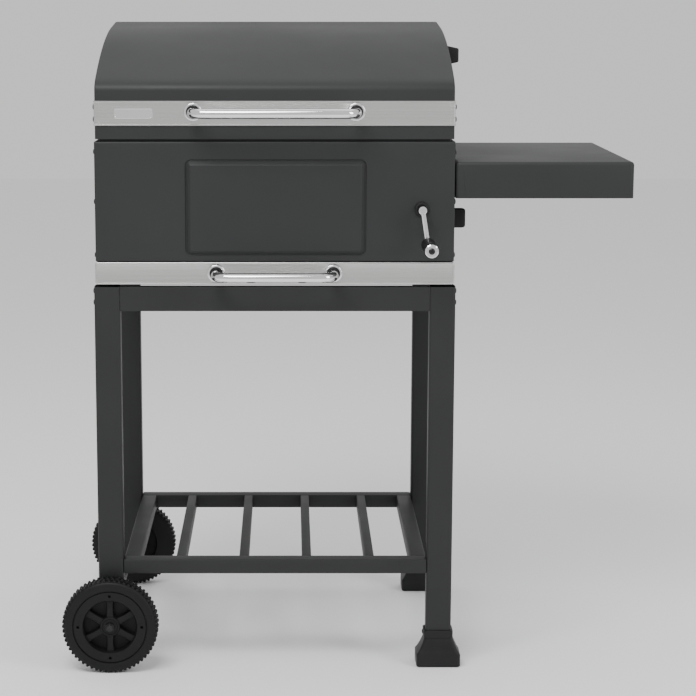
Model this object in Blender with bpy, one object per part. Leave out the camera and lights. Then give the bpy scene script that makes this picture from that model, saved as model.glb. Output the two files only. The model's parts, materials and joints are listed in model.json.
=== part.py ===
"""Charcoal grill cart: a steel firebox with a hinged lid on a wheeled leg frame.

Units are metres and +Z is up.  The drawing frame has x = 0 in the middle of the firebox,
y = 0 on the front faces of the legs, y growing towards the back, and z = 0 on the ground.
The finished cart is moved so that its origin is the middle of the bottom of its box.
"""

from math import atan2, cos, hypot, pi, radians, sin, tau

import bmesh
import bpy
from mathutils import Vector

# ---------------------------------------------------------------- driving dimensions
GAP = 0.0003            # air left between two pieces that touch
SHEET = 0.0012          # pressed steel sheet of the firebox, lid and pans
BRACKET = 0.0015        # thicker sheet of guides, hinges and frame rails

BODY_HALF = 0.2920      # half width of the firebox
CART_DEPTH = 0.4700     # front of the front legs to back of the rear legs

LEG_TOP = 0.6448
LEG_WIDTH = 0.0422      # leg section along x
LEG_DEPTH = 0.0300      # leg section along y
LEG_WALL = 0.0012
LEG_CORNER = 0.0040     # rounding of the leg tube's edges
LEG_PROUD = 0.0035      # the legs stand out past the firebox sides by this much
LEG_ABOVE_FLOOR = 0.0060        # sole under a right leg
LEG_BELOW_AXLE = 0.0340

APRON_HEIGHT = 0.0399
APRON_FLANGE = 0.0180
APRON_INSET = 0.0012    # the rails stand a little behind the faces of the legs

FIREBOX_HEIGHT = 0.2355
FIREBOX_SEAT = 0.0014   # air between the leg tops and the firebox
LIP_INSET = 0.0070      # the rim steps in, then rises as a lip into the lid
LIP_RISE = 0.0070
SIDE_FLANGE = 0.0180    # the front and rear panels wrap around the sides by this much
BOTTOM_FLANGE = 0.0140

STAMP_LEFT = -0.1457    # raised field pressed into the front panel
STAMP_RIGHT = 0.1488
STAMP_ABOVE_EDGE = 0.0092
STAMP_BELOW_RIM = 0.0287
STAMP_BEVEL = 0.0130
STAMP_RISE = 0.0035
STAMP_CORNER = 0.0140

DRAWER_HEIGHT = 0.0370
DRAWER_SEAT = 0.0040    # air between the leg tops and the drawer front
DRAWER_PROUD = 0.0010   # the drawer front is wider than the firebox by this much on each side
DRAWER_FRONT_RETURN = 0.0120
DRAWER_HEADROOM = 0.0010        # air between the drawer front and the front panel
TRAY_SIDE_ROOM = 0.0200
TRAY_BACK_ROOM = 0.0450
TRAY_HEADROOM = 0.0028
TRAY_LIFT = 0.0020      # air between the rails' ledges and the firebox flange
RAIL_SHELF = 0.0200     # the drawer rail's ledge under the tray
RAIL_HEIGHT = 0.0180
RAIL_START = 0.0200
RAIL_OVERRUN = 0.0100

LID_SIDE_STEP = 0.0020  # the lid is narrower than the firebox by this much on each side
LID_SEAM = 0.0040       # air between the firebox rim and the lid
LID_FRONT_HEIGHT = 0.0888       # upright part of the front, up to the shoulder
LID_ARCH_HEIGHT = 0.0890
LID_END_SLOPE = radians(5.0)    # the arch runs straight once it is this flat
LID_CREST_ROOM = 0.0550 # distance of the highest line from the back
LID_FRONT_RADIUS = 0.0200
LID_SHOULDER_SLOPE = 0.42       # rise over run of the top where it leaves the shoulder
LID_REAR_RADIUS = 0.0300
LID_ARC_STEPS = 14
LID_REAR_STEPS = 6
LID_END_FLANGE = 0.0110
LID_FLANGE_END = 0.0160 # the end flange stops this far from the front and the back

BAND_HEIGHT = 0.0398
BAND_ABOVE_EDGE = 0.0215
BAND_SHEET = 0.0010
BAND_RETURN = 0.0180

HANDLE_RADIUS = 0.0083
HANDLE_STANDOFF = 0.0560
HANDLE_BEND = 0.0240
LID_HANDLE_HALF = 0.1310
LID_HANDLE_ABOVE_BAND = 0.0223
DRAWER_HANDLE_HALF = 0.0950
DRAWER_HANDLE_ABOVE_EDGE = 0.0187
ROSETTE_RADIUS = 0.0150
ROSETTE_THICK = 0.0040
ROSETTE_DOME = 0.0018

HINGE_SIDE_ROOM = 0.0870        # middle of each hinge from the firebox side
HINGE_LENGTH = 0.0600
HINGE_PIN_RADIUS = 0.0025
HINGE_KNUCKLE_RADIUS = 0.0042
HINGE_LEAF_HEIGHT = 0.0300
HINGE_LEAF_STEP = 0.0010        # leaf edge beyond the knuckle
HINGE_STOP_REACH = 0.0400
HINGE_STOP_DROP = 0.0062
HINGE_PIN_OVERRUN = 0.0010

SHELF_LENGTH = 0.2888
SHELF_HEIGHT = 0.0590
SHELF_SEAM = 0.0012     # air between the firebox and the shelf
SHELF_BELOW_RIM = 0.0327
SHELF_BACK_ROOM = 0.0260
SHELF_CORNER = 0.0040
SHELF_HEM = 0.0120      # inward fold along the lower edge of the shelf

RACK_TOP = 0.1846
RACK_HEIGHT = 0.0240
RACK_RAIL = 0.0262
RACK_SLAT = 0.0154
RACK_SLATS = 4
RACK_END_BAY = 0.06055  # clear width between a rail and its nearest slat
RACK_INSET = 0.0008     # the rack stands behind the faces of the legs by this much

WHEEL_RADIUS = 0.0800
WHEEL_WIDTH = 0.0350
WHEEL_OFFSET = 0.0001   # axle outside the middle of the leg
WHEEL_RIM_DEPTH = 0.0345        # radial depth of the rim ring
WHEEL_RING_DEPTH = 0.0185       # the rim's flat face ends this far inside the tread
WHEEL_HUB_RADIUS = 0.0165
WHEEL_WEB_THICK = 0.0050
WHEEL_HUB_RECESS = 0.0040
WHEEL_SHOULDER = 0.0070 # width of the slope between the tread and each face
WHEEL_SHOULDER_DROP = 0.0080
WHEEL_LUGS = 30
WHEEL_LUG_DEPTH = 0.0022
WHEEL_SPOKES = 6
POCKET_START = 0.0200   # radius at which the pockets between the spokes begin
POCKET_EDGE = 0.0020    # web left between a pocket and the rim
POCKET_FLOOR = 0.0020   # web left behind each pocket
POCKET_SPREAD_IN = radians(15.0)
POCKET_SPREAD_OUT = radians(22.0)
AXLE_RADIUS = 0.0050
AXLE_FIT = 0.0003
WHEEL_SPACER = 0.0080   # boss between the leg and the wheel
AXLE_STANDOUT = 0.0035  # axle end beyond the outer face of each wheel
NUT_ACROSS = 0.0130
NUT_THICK = 0.0050

FOOT_HEIGHT = 0.0616
FOOT_COLLAR = 0.0128
FOOT_WALL = 0.0032
FOOT_SPREAD_X = 0.0159  # the base is wider than the leg by this much on each side
FOOT_SPREAD_Y = 0.0105
FOOT_SOLE = 0.0210      # height of the upright base under the flare
FOOT_SOLE_EDGE = 0.0020 # slope along the lower edge of the base
FOOT_CORNER = 0.0040

CRANK_SIDE_ROOM = 0.0534        # spindle from the firebox side
CRANK_BELOW_CAM = 0.0133        # spindle under the top of the cam plates
SPINDLE_RADIUS = 0.0050
SPINDLE_FIT = 0.0004
SPINDLE_OVERRUN = 0.0080
CRANK_RADIUS = 0.0550
CRANK_TILT = radians(9.0)
CRANK_ROD_RADIUS = 0.0043
CRANK_ROD_Y = -0.0230
CRANK_BEND = 0.0100
CRANK_TOP_END = 0.0060  # rod end above the spindle
CRANK_TIP_ROOM = 0.0040 # rod end inside the grip
GRIP_RADIUS = 0.0118
GRIP_LENGTH = 0.0860
GRIP_START_Y = -0.0340
GRIP_ROUND = 0.0035
ESCUTCHEON_RADIUS = 0.0120
ESCUTCHEON_THICK = 0.0045

ROD_RADIUS = 0.0040     # the two lift rods that carry the charcoal pan
ROD_FIT = 0.0004
ROD_END_ROOM = 0.1300   # rods from the front and the back of the cart
ROD_ABOVE_GUIDE = 0.0105
ROD_OVERRUN = 0.0060    # rod end beyond the guide
PAN_LIFT = 0.0600
GUIDE_SIDE_ROOM = 0.0285        # outer face of the lift guide's web from the firebox side
GUIDE_REACH = 0.0175    # inward reach of the guide's two flanges
GUIDE_ABOVE_DRAWER = 0.0037
GRATE_BELOW_RIM = 0.0127
CAM_SIDE_ROOM = 0.0120  # cam plate from the guide
CAM_THICK = 0.0020
CAM_ABOVE_SLOT = 0.0260
CAM_FRONT_MARGIN = 0.0140
CAM_REAR_MARGIN = 0.0160
CAM_BAR_FORWARD = 0.0350        # tie bar in front of the middle between the rods
CAM_BAR_WIDTH = 0.0160
CAM_BAR_THICK = 0.0030
NUT_LENGTH = 0.0240
NUT_INNER_SHARE = 0.85  # the nut reaches less far inwards than outwards

PAN_SPINDLE_ROOM = 0.0116       # pan side from the spindle's axis
PAN_END_ROOM = 0.0300
PAN_HEIGHT = 0.0580
PAN_SLOTS = 7
PAN_SLOT_WIDTH = 0.0080
PAN_SLOT_SIDE = 0.0300  # plain floor beside the first and the last slot's share
PAN_SLOT_END = 0.0400

GRATE_THICK = 0.0060
GRATE_BAR = 0.0050
GRATE_RIM = 0.0070
GRATE_BARS = 12
GRATE_SPLIT = 0.0020
GRATE_END_ROOM = 0.0110

VENT_PLATE_THICK = 0.0012
VENT_MARGIN = 0.0050    # metal left around the air slots of a slider
VENT_CORNER = 0.0040
VENT_SLOTS = 3
VENT_SLOT_WIDTH = 0.0120
VENT_SLOT_HEIGHT = 0.0300
VENT_SLOT_PITCH = 0.0280
VENT_TAB_HALF = 0.0100
VENT_TAB_CORNER = 0.0030
KNOB_HALF_WIDTH = 0.0065
KNOB_HEIGHT = 0.0330
KNOB_ROUND = 0.0015
BOX_VENT_Y = 0.1500
BOX_VENT_BELOW_SHELF = 0.0478
BOX_KNOB_REACH = 0.0315
LID_VENT_ABOVE_SHOULDER = 0.0035
LID_KNOB_ABOVE_VENT = 0.0350
LID_KNOB_REACH = 0.0240

# ---------------------------------------------------------------- worked-out sizes
SIDE_OUTER = BODY_HALF - SHEET - GAP
LEG_HALF_SPAN = BODY_HALF + LEG_PROUD
LEG_INNER = LEG_HALF_SPAN - LEG_WIDTH
LEG_AXIS_X = LEG_HALF_SPAN - LEG_WIDTH / 2
APRON_BOTTOM = LEG_TOP - APRON_HEIGHT
APRON_SIDE = LEG_HALF_SPAN - APRON_INSET
RACK_HALF = LEG_INNER - GAP
RACK_PITCH = (2 * (RACK_HALF - RACK_RAIL - RACK_END_BAY) - RACK_SLAT) / (RACK_SLATS - 1)

FIREBOX_BOTTOM = LEG_TOP + FIREBOX_SEAT
FIREBOX_TOP = FIREBOX_BOTTOM + FIREBOX_HEIGHT
DRAWER_HALF = BODY_HALF + DRAWER_PROUD
DRAWER_BOTTOM = LEG_TOP + DRAWER_SEAT
DRAWER_TOP = DRAWER_BOTTOM + DRAWER_HEIGHT
DRAWER_HANDLE_Z = DRAWER_BOTTOM + DRAWER_HANDLE_ABOVE_EDGE
RAIL_FLOOR = FIREBOX_BOTTOM + SHEET + GAP + TRAY_LIFT
TRAY_HALF = BODY_HALF - TRAY_SIDE_ROOM
TRAY_BACK = CART_DEPTH - TRAY_BACK_ROOM
TRAY_BOTTOM = RAIL_FLOOR + BRACKET + 2 * GAP
TRAY_TOP = DRAWER_TOP - TRAY_HEADROOM
PANEL_BOTTOM = DRAWER_TOP + DRAWER_HEADROOM
STAMP_BOTTOM = PANEL_BOTTOM + STAMP_ABOVE_EDGE
STAMP_TOP = FIREBOX_TOP - STAMP_BELOW_RIM

LID_HALF = BODY_HALF - LID_SIDE_STEP
LID_BOTTOM = FIREBOX_TOP + LID_SEAM
LID_SHOULDER = LID_BOTTOM + LID_FRONT_HEIGHT
LID_CREST_Y = CART_DEPTH - LID_CREST_ROOM
LID_ARC_RADIUS = (LID_CREST_Y ** 2 + LID_ARCH_HEIGHT ** 2) / (2 * LID_ARCH_HEIGHT)
LID_CREST = LID_SHOULDER + LID_ARCH_HEIGHT + LID_ARC_RADIUS * (1 / cos(LID_END_SLOPE) - 1)
BAND_HALF = LID_HALF + GAP
BAND_BOTTOM = LID_BOTTOM + BAND_ABOVE_EDGE
BAND_TOP = BAND_BOTTOM + BAND_HEIGHT
LID_HANDLE_Z = BAND_BOTTOM + LID_HANDLE_ABOVE_BAND
HINGE_X = BODY_HALF - HINGE_SIDE_ROOM
HINGE_Y = CART_DEPTH + GAP + HINGE_KNUCKLE_RADIUS
HINGE_Z = (FIREBOX_TOP + LID_BOTTOM) / 2

SHELF_INNER = BODY_HALF + SHELF_SEAM
SHELF_OUTER = SHELF_INNER + SHELF_LENGTH
SHELF_BACK = CART_DEPTH - SHELF_BACK_ROOM
SHELF_TOP = FIREBOX_TOP - SHELF_BELOW_RIM
SHELF_BOTTOM = SHELF_TOP - SHELF_HEIGHT

WHEEL_X = -(LEG_AXIS_X + WHEEL_OFFSET)
WHEEL_Z = WHEEL_RADIUS
WHEEL_LEG_BOTTOM = WHEEL_Z - LEG_BELOW_AXLE
FRONT_WHEEL_BACK = -WHEEL_SPACER
REAR_WHEEL_FRONT = CART_DEPTH + WHEEL_SPACER
AXLE_FRONT = FRONT_WHEEL_BACK - WHEEL_WIDTH - AXLE_STANDOUT
AXLE_REAR = REAR_WHEEL_FRONT + WHEEL_WIDTH + AXLE_STANDOUT
FOOT_HALF_X = LEG_WIDTH / 2 + FOOT_SPREAD_X
FOOT_HALF_Y = LEG_DEPTH / 2 + FOOT_SPREAD_Y

GUIDE_X = BODY_HALF - GUIDE_SIDE_ROOM
GUIDE_BOTTOM = DRAWER_TOP + GUIDE_ABOVE_DRAWER
GRATE_LEDGE_Z = FIREBOX_TOP - GRATE_BELOW_RIM
ROD_FRONT_Y = ROD_END_ROOM
ROD_REAR_Y = CART_DEPTH - ROD_END_ROOM
ROD_LOW_Z = GUIDE_BOTTOM + ROD_ABOVE_GUIDE
CAM_X = GUIDE_X - CAM_SIDE_ROOM
CAM_BOTTOM = GUIDE_BOTTOM + BRACKET + GAP
CAM_TOP = ROD_LOW_Z + PAN_LIFT + CAM_ABOVE_SLOT
CAM_FRONT_Y = ROD_FRONT_Y - PAN_LIFT - CAM_FRONT_MARGIN
CAM_REAR_Y = ROD_REAR_Y + CAM_REAR_MARGIN
CAM_BAR_Y = CART_DEPTH / 2 - CAM_BAR_FORWARD
CRANK_X = BODY_HALF - CRANK_SIDE_ROOM
CRANK_Z = CAM_TOP - CRANK_BELOW_CAM
GRIP_END_Y = GRIP_START_Y - GRIP_LENGTH
PAN_HALF = CRANK_X - PAN_SPINDLE_ROOM
PAN_BOTTOM = ROD_LOW_Z + ROD_RADIUS + GAP
PAN_REAR_Y = CART_DEPTH - PAN_END_ROOM

BOX_VENT_Z = SHELF_BOTTOM - BOX_VENT_BELOW_SHELF
LID_VENT_Y = CART_DEPTH / 2
LID_VENT_Z = LID_SHOULDER + LID_VENT_ABOVE_SHOULDER
LID_KNOB_Z = LID_VENT_Z + LID_KNOB_ABOVE_VENT

ORIGIN_X = (SHELF_OUTER + WHEEL_X - WHEEL_RADIUS) / 2
ORIGIN_Y = (GRIP_END_Y + AXLE_REAR) / 2

# ---------------------------------------------------------------- finishes
DARK_PAINT = ((0.056, 0.060, 0.060), 0.52, 0.25)
FRAME_PAINT = ((0.050, 0.053, 0.053), 0.50, 0.25)
STAINLESS = ((0.62, 0.61, 0.60), 0.30, 1.0)
CHROME = ((0.80, 0.80, 0.80), 0.08, 1.0)
ZINC = ((0.55, 0.55, 0.56), 0.38, 1.0)
ENAMEL = ((0.020, 0.020, 0.021), 0.35, 0.1)
PLASTIC = ((0.016, 0.016, 0.017), 0.48, 0.0)

# ---------------------------------------------------------------- tools
for old in list(bpy.data.objects):
    bpy.data.objects.remove(old, do_unlink=True)

AXES = {"x": (1, 2, 0), "y": (0, 2, 1), "z": (0, 1, 2)}


def pivot(name, place, parent=None):
    """An empty that a body turns about or slides with."""
    empty = bpy.data.objects.new(name, None)
    bpy.context.scene.collection.objects.link(empty)
    empty["cart_place"] = place
    empty.parent = parent
    start = Vector(parent["cart_place"]) if parent else Vector((0, 0, 0))
    empty.location = Vector(place) - start
    return empty


def paint(piece, finish):
    """Gives a piece its own material from a (colour, roughness, metallic) finish."""
    colour, roughness, metallic = finish
    material = bpy.data.materials.new(piece.name)
    material.use_nodes = True
    shader = material.node_tree.nodes["Principled BSDF"]
    shader.inputs["Base Color"].default_value = (*colour, 1.0)
    shader.inputs["Roughness"].default_value = roughness
    shader.inputs["Metallic"].default_value = metallic
    piece.data.materials.append(material)


def finish_mesh(name, bm, body, finish, smooth=None):
    """Closes off a bmesh as an object that sits under its body's empty."""
    bmesh.ops.remove_doubles(bm, verts=bm.verts, dist=1e-6)
    bmesh.ops.recalc_face_normals(bm, faces=bm.faces)
    place = Vector(body["cart_place"])
    bmesh.ops.translate(bm, verts=bm.verts, vec=-place)
    mesh = bpy.data.meshes.new(name)
    bm.to_mesh(mesh)
    bm.free()
    if smooth:
        mesh.shade_smooth()
        mesh.set_sharp_from_angle(angle=smooth)
    piece = bpy.data.objects.new(name, mesh)
    bpy.context.scene.collection.objects.link(piece)
    piece.parent = body
    paint(piece, finish)
    return piece


def add_prism(bm, outline, axis, start, end):
    """Extrudes a flat outline along x, y or z."""
    first, second, along = AXES[axis]
    verts = []
    for a, b in outline:
        spot = [0.0, 0.0, 0.0]
        spot[first], spot[second], spot[along] = a, b, start
        verts.append(bm.verts.new(spot))
    face = bm.faces.new(verts)
    grown = bmesh.ops.extrude_face_region(bm, geom=[face])
    move = Vector((0, 0, 0))
    move[along] = end - start
    raised = [item for item in grown["geom"] if isinstance(item, bmesh.types.BMVert)]
    bmesh.ops.translate(bm, verts=raised, vec=move)


def prism(name, body, finish, outline, axis, start, end, smooth=None):
    bm = bmesh.new()
    add_prism(bm, outline, axis, start, end)
    return finish_mesh(name, bm, body, finish, smooth)


def add_box(bm, low, high):
    outline = [(low[0], low[1]), (high[0], low[1]), (high[0], high[1]), (low[0], high[1])]
    add_prism(bm, outline, "z", low[2], high[2])


def box(name, body, finish, low, high):
    bm = bmesh.new()
    add_box(bm, low, high)
    return finish_mesh(name, bm, body, finish)


def folded(path, thickness):
    """Outline of a bent strip: the path is one face, the other lies to its left."""
    points = [Vector(point) for point in path]
    other = []
    for index, point in enumerate(points):
        before = points[max(index - 1, 0)]
        after = points[min(index + 1, len(points) - 1)]
        ways = []
        if index > 0:
            ways.append((point - before).normalized())
        if index < len(points) - 1:
            ways.append((after - point).normalized())
        normals = [Vector((-way.y, way.x)) for way in ways]
        middle = sum(normals, Vector((0, 0))).normalized()
        other.append(point + middle * (thickness / middle.dot(normals[0])))
    return [tuple(point) for point in points] + [tuple(point) for point in reversed(other)]


def rounded(low, high, radius, steps=3):
    """Rectangle with round corners, anticlockwise."""
    corners = [
        (high[0] - radius, low[1] + radius, -pi / 2),
        (high[0] - radius, high[1] - radius, 0.0),
        (low[0] + radius, high[1] - radius, pi / 2),
        (low[0] + radius, low[1] + radius, pi),
    ]
    outline = []
    for x, y, start in corners:
        for step in range(steps + 1):
            angle = start + step / steps * pi / 2
            outline.append((x + radius * cos(angle), y + radius * sin(angle)))
    return outline


def skin(bm, rings):
    """Closes rings of vertices into a solid, first and last ring included."""
    for below, above in zip(rings, rings[1:]):
        for k in range(len(below)):
            bm.faces.new((below[k - 1], below[k], above[k], above[k - 1]))
    bm.faces.new(rings[0])
    bm.faces.new(rings[-1])


def circle(centre, radius, sides):
    return [
        (centre[0] + radius * cos(tau * (k + 0.5) / sides), centre[1] + radius * sin(tau * (k + 0.5) / sides))
        for k in range(sides)
    ]


def add_turned(bm, profile, centre, steps):
    """Turns a closed (radius, y) profile about an axis along y."""
    verts = [bm.verts.new((centre[0] + radius, y, centre[2])) for radius, y in profile]
    edges = [bm.edges.new((verts[k], verts[(k + 1) % len(verts)])) for k in range(len(verts))]
    bmesh.ops.spin(
        bm, geom=edges, cent=centre, axis=(0, 1, 0), angle=tau, steps=steps, use_merge=True
    )


def cylinder(name, body, finish, centre, radius, axis, start, end, sides=16, bore=0.0):
    """Round bar, or a bush where bore is set; centre holds its two cross coordinates."""
    bm = bmesh.new()
    add_prism(bm, circle(centre, radius, sides), axis, start, end)
    piece = finish_mesh(name, bm, body, finish, radians(40))
    if bore:
        hole(piece, centre, bore, axis, start, end)
    return piece


def shape_with(piece, bm, operation):
    """Adds a hidden tool shape to a piece with a Boolean."""
    tool = finish_mesh(piece.name + "_" + operation.lower(), bm, piece.parent, ZINC)
    tool.hide_render = True
    tool.display_type = "WIRE"
    step = piece.modifiers.new(operation.lower(), "BOOLEAN")
    step.object = tool
    step.operation = operation
    step.solver = "EXACT"


def cutter(piece, bm):
    """Takes the bmesh's shape out of a piece."""
    shape_with(piece, bm, "DIFFERENCE")


def fuse(piece, bm):
    """Joins the bmesh's shape to a piece as one body."""
    shape_with(piece, bm, "UNION")


def hole(piece, centre, radius, axis, start, end, sides=16):
    bm = bmesh.new()
    add_prism(bm, circle(centre, radius, sides), axis, start - GAP, end + GAP)
    cutter(piece, bm)


def slot_cut(piece, boxes):
    """Cuts several separate rectangular slots, each given by its low and high corners."""
    bm = bmesh.new()
    for low, high in boxes:
        add_box(bm, low, high)
    cutter(piece, bm)


def bent_bar(name, body, finish, path, radius, resolution=3):
    """Round bar along a line of points, with closed ends."""
    place = Vector(body["cart_place"])
    curve = bpy.data.curves.new(name, "CURVE")
    curve.dimensions = "3D"
    curve.bevel_depth = radius
    curve.bevel_resolution = resolution
    curve.use_fill_caps = True
    curve.render_resolution_u = 0
    spline = curve.splines.new("POLY")
    spline.points.add(len(path) - 1)
    for point, spot in zip(spline.points, path):
        point.co = (*(Vector(spot) - place), 1.0)
    piece = bpy.data.objects.new(name, curve)
    bpy.context.scene.collection.objects.link(piece)
    piece.parent = body
    paint(piece, finish)
    return piece


def bow(half, depth, bend, height, front, steps=5):
    """Path of a bow handle: out from the plate, round, across and back in."""
    path = [(-half, front, height)]
    for step in range(steps + 1):
        angle = step / steps * pi / 2
        path.append((-half + bend * (1 - cos(angle)), front - depth + bend * (1 - sin(angle)), height))
    return path + [(-x, y, z) for x, y, z in reversed(path)]


# ---------------------------------------------------------------- bodies
cart = pivot("cart", (0.0, 0.0, 0.0))
cart.location = (-ORIGIN_X, -ORIGIN_Y, 0.0)
lid_axis = pivot("lid_axis", (0.0, HINGE_Y, HINGE_Z), cart)
drawer_slide = pivot("drawer_slide", (0.0, 0.0, DRAWER_BOTTOM), cart)
crank_axis = pivot("crank_axis", (CRANK_X, 0.0, CRANK_Z), cart)
cam_slide = pivot("cam_slide", (0.0, CAM_BAR_Y, GUIDE_BOTTOM), cart)
pan_lift = pivot("pan_lift", (0.0, 0.0, ROD_LOW_Z), cart)
front_wheel_axis = pivot("front_wheel_axis", (WHEEL_X, FRONT_WHEEL_BACK, WHEEL_Z), cart)
rear_wheel_axis = pivot("rear_wheel_axis", (WHEEL_X, REAR_WHEEL_FRONT, WHEEL_Z), cart)
box_vent_slide = pivot("box_vent_slide", (BODY_HALF, BOX_VENT_Y, BOX_VENT_Z), cart)
lid_vent_slide = pivot("lid_vent_slide", (LID_HALF, LID_VENT_Y, LID_VENT_Z), lid_axis)
CRANK_DOWN = Vector((sin(CRANK_TILT), 0.0, -cos(CRANK_TILT)))
GRIP_SPOT = Vector((CRANK_X, GRIP_START_Y, CRANK_Z)) + CRANK_DOWN * CRANK_RADIUS
grip_axis = pivot("grip_axis", tuple(GRIP_SPOT), crank_axis)


# ---------------------------------------------------------------- leg frame
def leg(name, side, front, bottom):
    """Rectangular steel tube, open at both ends; side is -1 for left."""
    low_x = side * LEG_HALF_SPAN if side < 0 else LEG_INNER
    low_y = 0.0 if front else CART_DEPTH - LEG_DEPTH
    outer_low = (low_x, low_y)
    outer_high = (low_x + LEG_WIDTH, low_y + LEG_DEPTH)
    outline = rounded(outer_low, outer_high, LEG_CORNER)
    piece = prism(name, cart, FRAME_PAINT, outline, "z", bottom, LEG_TOP, radians(40))
    inner_low = (outer_low[0] + LEG_WALL, outer_low[1] + LEG_WALL)
    inner_high = (outer_high[0] - LEG_WALL, outer_high[1] - LEG_WALL)
    bm = bmesh.new()
    add_prism(bm, rounded(inner_low, inner_high, LEG_CORNER - LEG_WALL), "z", bottom - GAP, LEG_TOP + GAP)
    cutter(piece, bm)
    return piece


for row, is_front in (("front", True), ("rear", False)):
    wheel_leg = leg("leg_" + row + "_left", -1, is_front, WHEEL_LEG_BOTTOM)
    first_y = 0.0 if is_front else CART_DEPTH - LEG_DEPTH
    hole(wheel_leg, (WHEEL_X, WHEEL_Z), AXLE_RADIUS + AXLE_FIT, "y", first_y, first_y + LEG_DEPTH)
    leg("leg_" + row + "_right", 1, is_front, LEG_ABOVE_FLOOR)


def apron(name, low, high, start, end, axis):
    """Angle rail between two legs: an upright web with a flange along its top."""
    inward = 1 if low < high else -1
    path = [(low + inward * APRON_FLANGE, LEG_TOP), (low, LEG_TOP), (low, APRON_BOTTOM)]
    return prism(name, cart, FRAME_PAINT, folded(path, inward * BRACKET), axis, start, end)


apron("apron_front", APRON_INSET, 1.0, -LEG_INNER + GAP, LEG_INNER - GAP, "x")
apron("apron_rear", CART_DEPTH - APRON_INSET, 0.0, -LEG_INNER + GAP, LEG_INNER - GAP, "x")
apron("apron_left", -APRON_SIDE, 0.0, LEG_DEPTH + GAP, CART_DEPTH - LEG_DEPTH - GAP, "y")
apron("apron_right", APRON_SIDE, 0.0, LEG_DEPTH + GAP, CART_DEPTH - LEG_DEPTH - GAP, "y")


def bottom_rack():
    """Welded rack between the legs: downward channels, with slats running back."""
    low, high = (-RACK_HALF, RACK_INSET), (RACK_HALF, CART_DEPTH - RACK_INSET)
    piece = box("bottom_rack", cart, FRAME_PAINT, (*low, RACK_TOP - RACK_HEIGHT), (*high, RACK_TOP))
    edges = [RACK_RAIL - RACK_HALF]
    for index in range(RACK_SLATS):
        middle = (index - (RACK_SLATS - 1) / 2) * RACK_PITCH
        edges += [middle - RACK_SLAT / 2, middle + RACK_SLAT / 2]
    edges.append(RACK_HALF - RACK_RAIL)
    low_y, high_y = low[1] + RACK_RAIL, high[1] - RACK_RAIL
    bays = [
        ((edges[k], low_y, RACK_TOP - RACK_HEIGHT - GAP), (edges[k + 1], high_y, RACK_TOP + GAP))
        for k in range(0, len(edges), 2)
    ]
    slot_cut(piece, bays)
    underside = bmesh.new()
    wall_low = (low[0] + BRACKET, low[1] + BRACKET, RACK_TOP - RACK_HEIGHT - GAP)
    wall_high = (high[0] - BRACKET, high[1] - BRACKET, RACK_TOP - BRACKET)
    add_box(underside, wall_low, wall_high)
    core = finish_mesh("rack_core", underside, cart, ZINC)
    core.hide_render = True
    core.display_type = "WIRE"
    slot_cut(core, [
        (
            (near[0] - BRACKET, near[1] - BRACKET, near[2] - GAP),
            (far[0] + BRACKET, far[1] + BRACKET, far[2] + GAP),
        )
        for near, far in bays
    ])
    hollow = piece.modifiers.new("hollow", "BOOLEAN")
    hollow.object = core
    hollow.operation = "DIFFERENCE"
    hollow.solver = "EXACT"


bottom_rack()


def foot(name, middle_y):
    """Moulded shoe on a right leg: a collar, a flare and an upright base."""
    centre = (LEG_AXIS_X, middle_y)
    collar_bottom = FOOT_HEIGHT - FOOT_COLLAR
    collar_x = LEG_WIDTH / 2 + FOOT_WALL
    collar_y = LEG_DEPTH / 2 + FOOT_WALL
    rings = [
        (FOOT_HALF_X - FOOT_SOLE_EDGE, FOOT_HALF_Y - FOOT_SOLE_EDGE, 0.0),
        (FOOT_HALF_X, FOOT_HALF_Y, FOOT_SOLE_EDGE),
        (FOOT_HALF_X, FOOT_HALF_Y, FOOT_SOLE),
        (collar_x, collar_y, collar_bottom),
        (collar_x, collar_y, FOOT_HEIGHT),
    ]
    bm = bmesh.new()
    loops = []
    for half_x, half_y, z in rings:
        low = (centre[0] - half_x, centre[1] - half_y)
        high = (centre[0] + half_x, centre[1] + half_y)
        outline = rounded(low, high, FOOT_CORNER, 2)
        loops.append([bm.verts.new((x, y, z)) for x, y in outline])
    skin(bm, loops)
    piece = finish_mesh(name, bm, cart, PLASTIC, radians(40))
    socket = bmesh.new()
    low = (centre[0] - LEG_WIDTH / 2 - GAP, centre[1] - LEG_DEPTH / 2 - GAP)
    high = (centre[0] + LEG_WIDTH / 2 + GAP, centre[1] + LEG_DEPTH / 2 + GAP)
    add_prism(socket, rounded(low, high, LEG_CORNER), "z", LEG_ABOVE_FLOOR - GAP, FOOT_HEIGHT + GAP)
    cutter(piece, socket)


foot("foot_front_right", LEG_DEPTH / 2)
foot("foot_rear_right", CART_DEPTH - LEG_DEPTH / 2)


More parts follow.
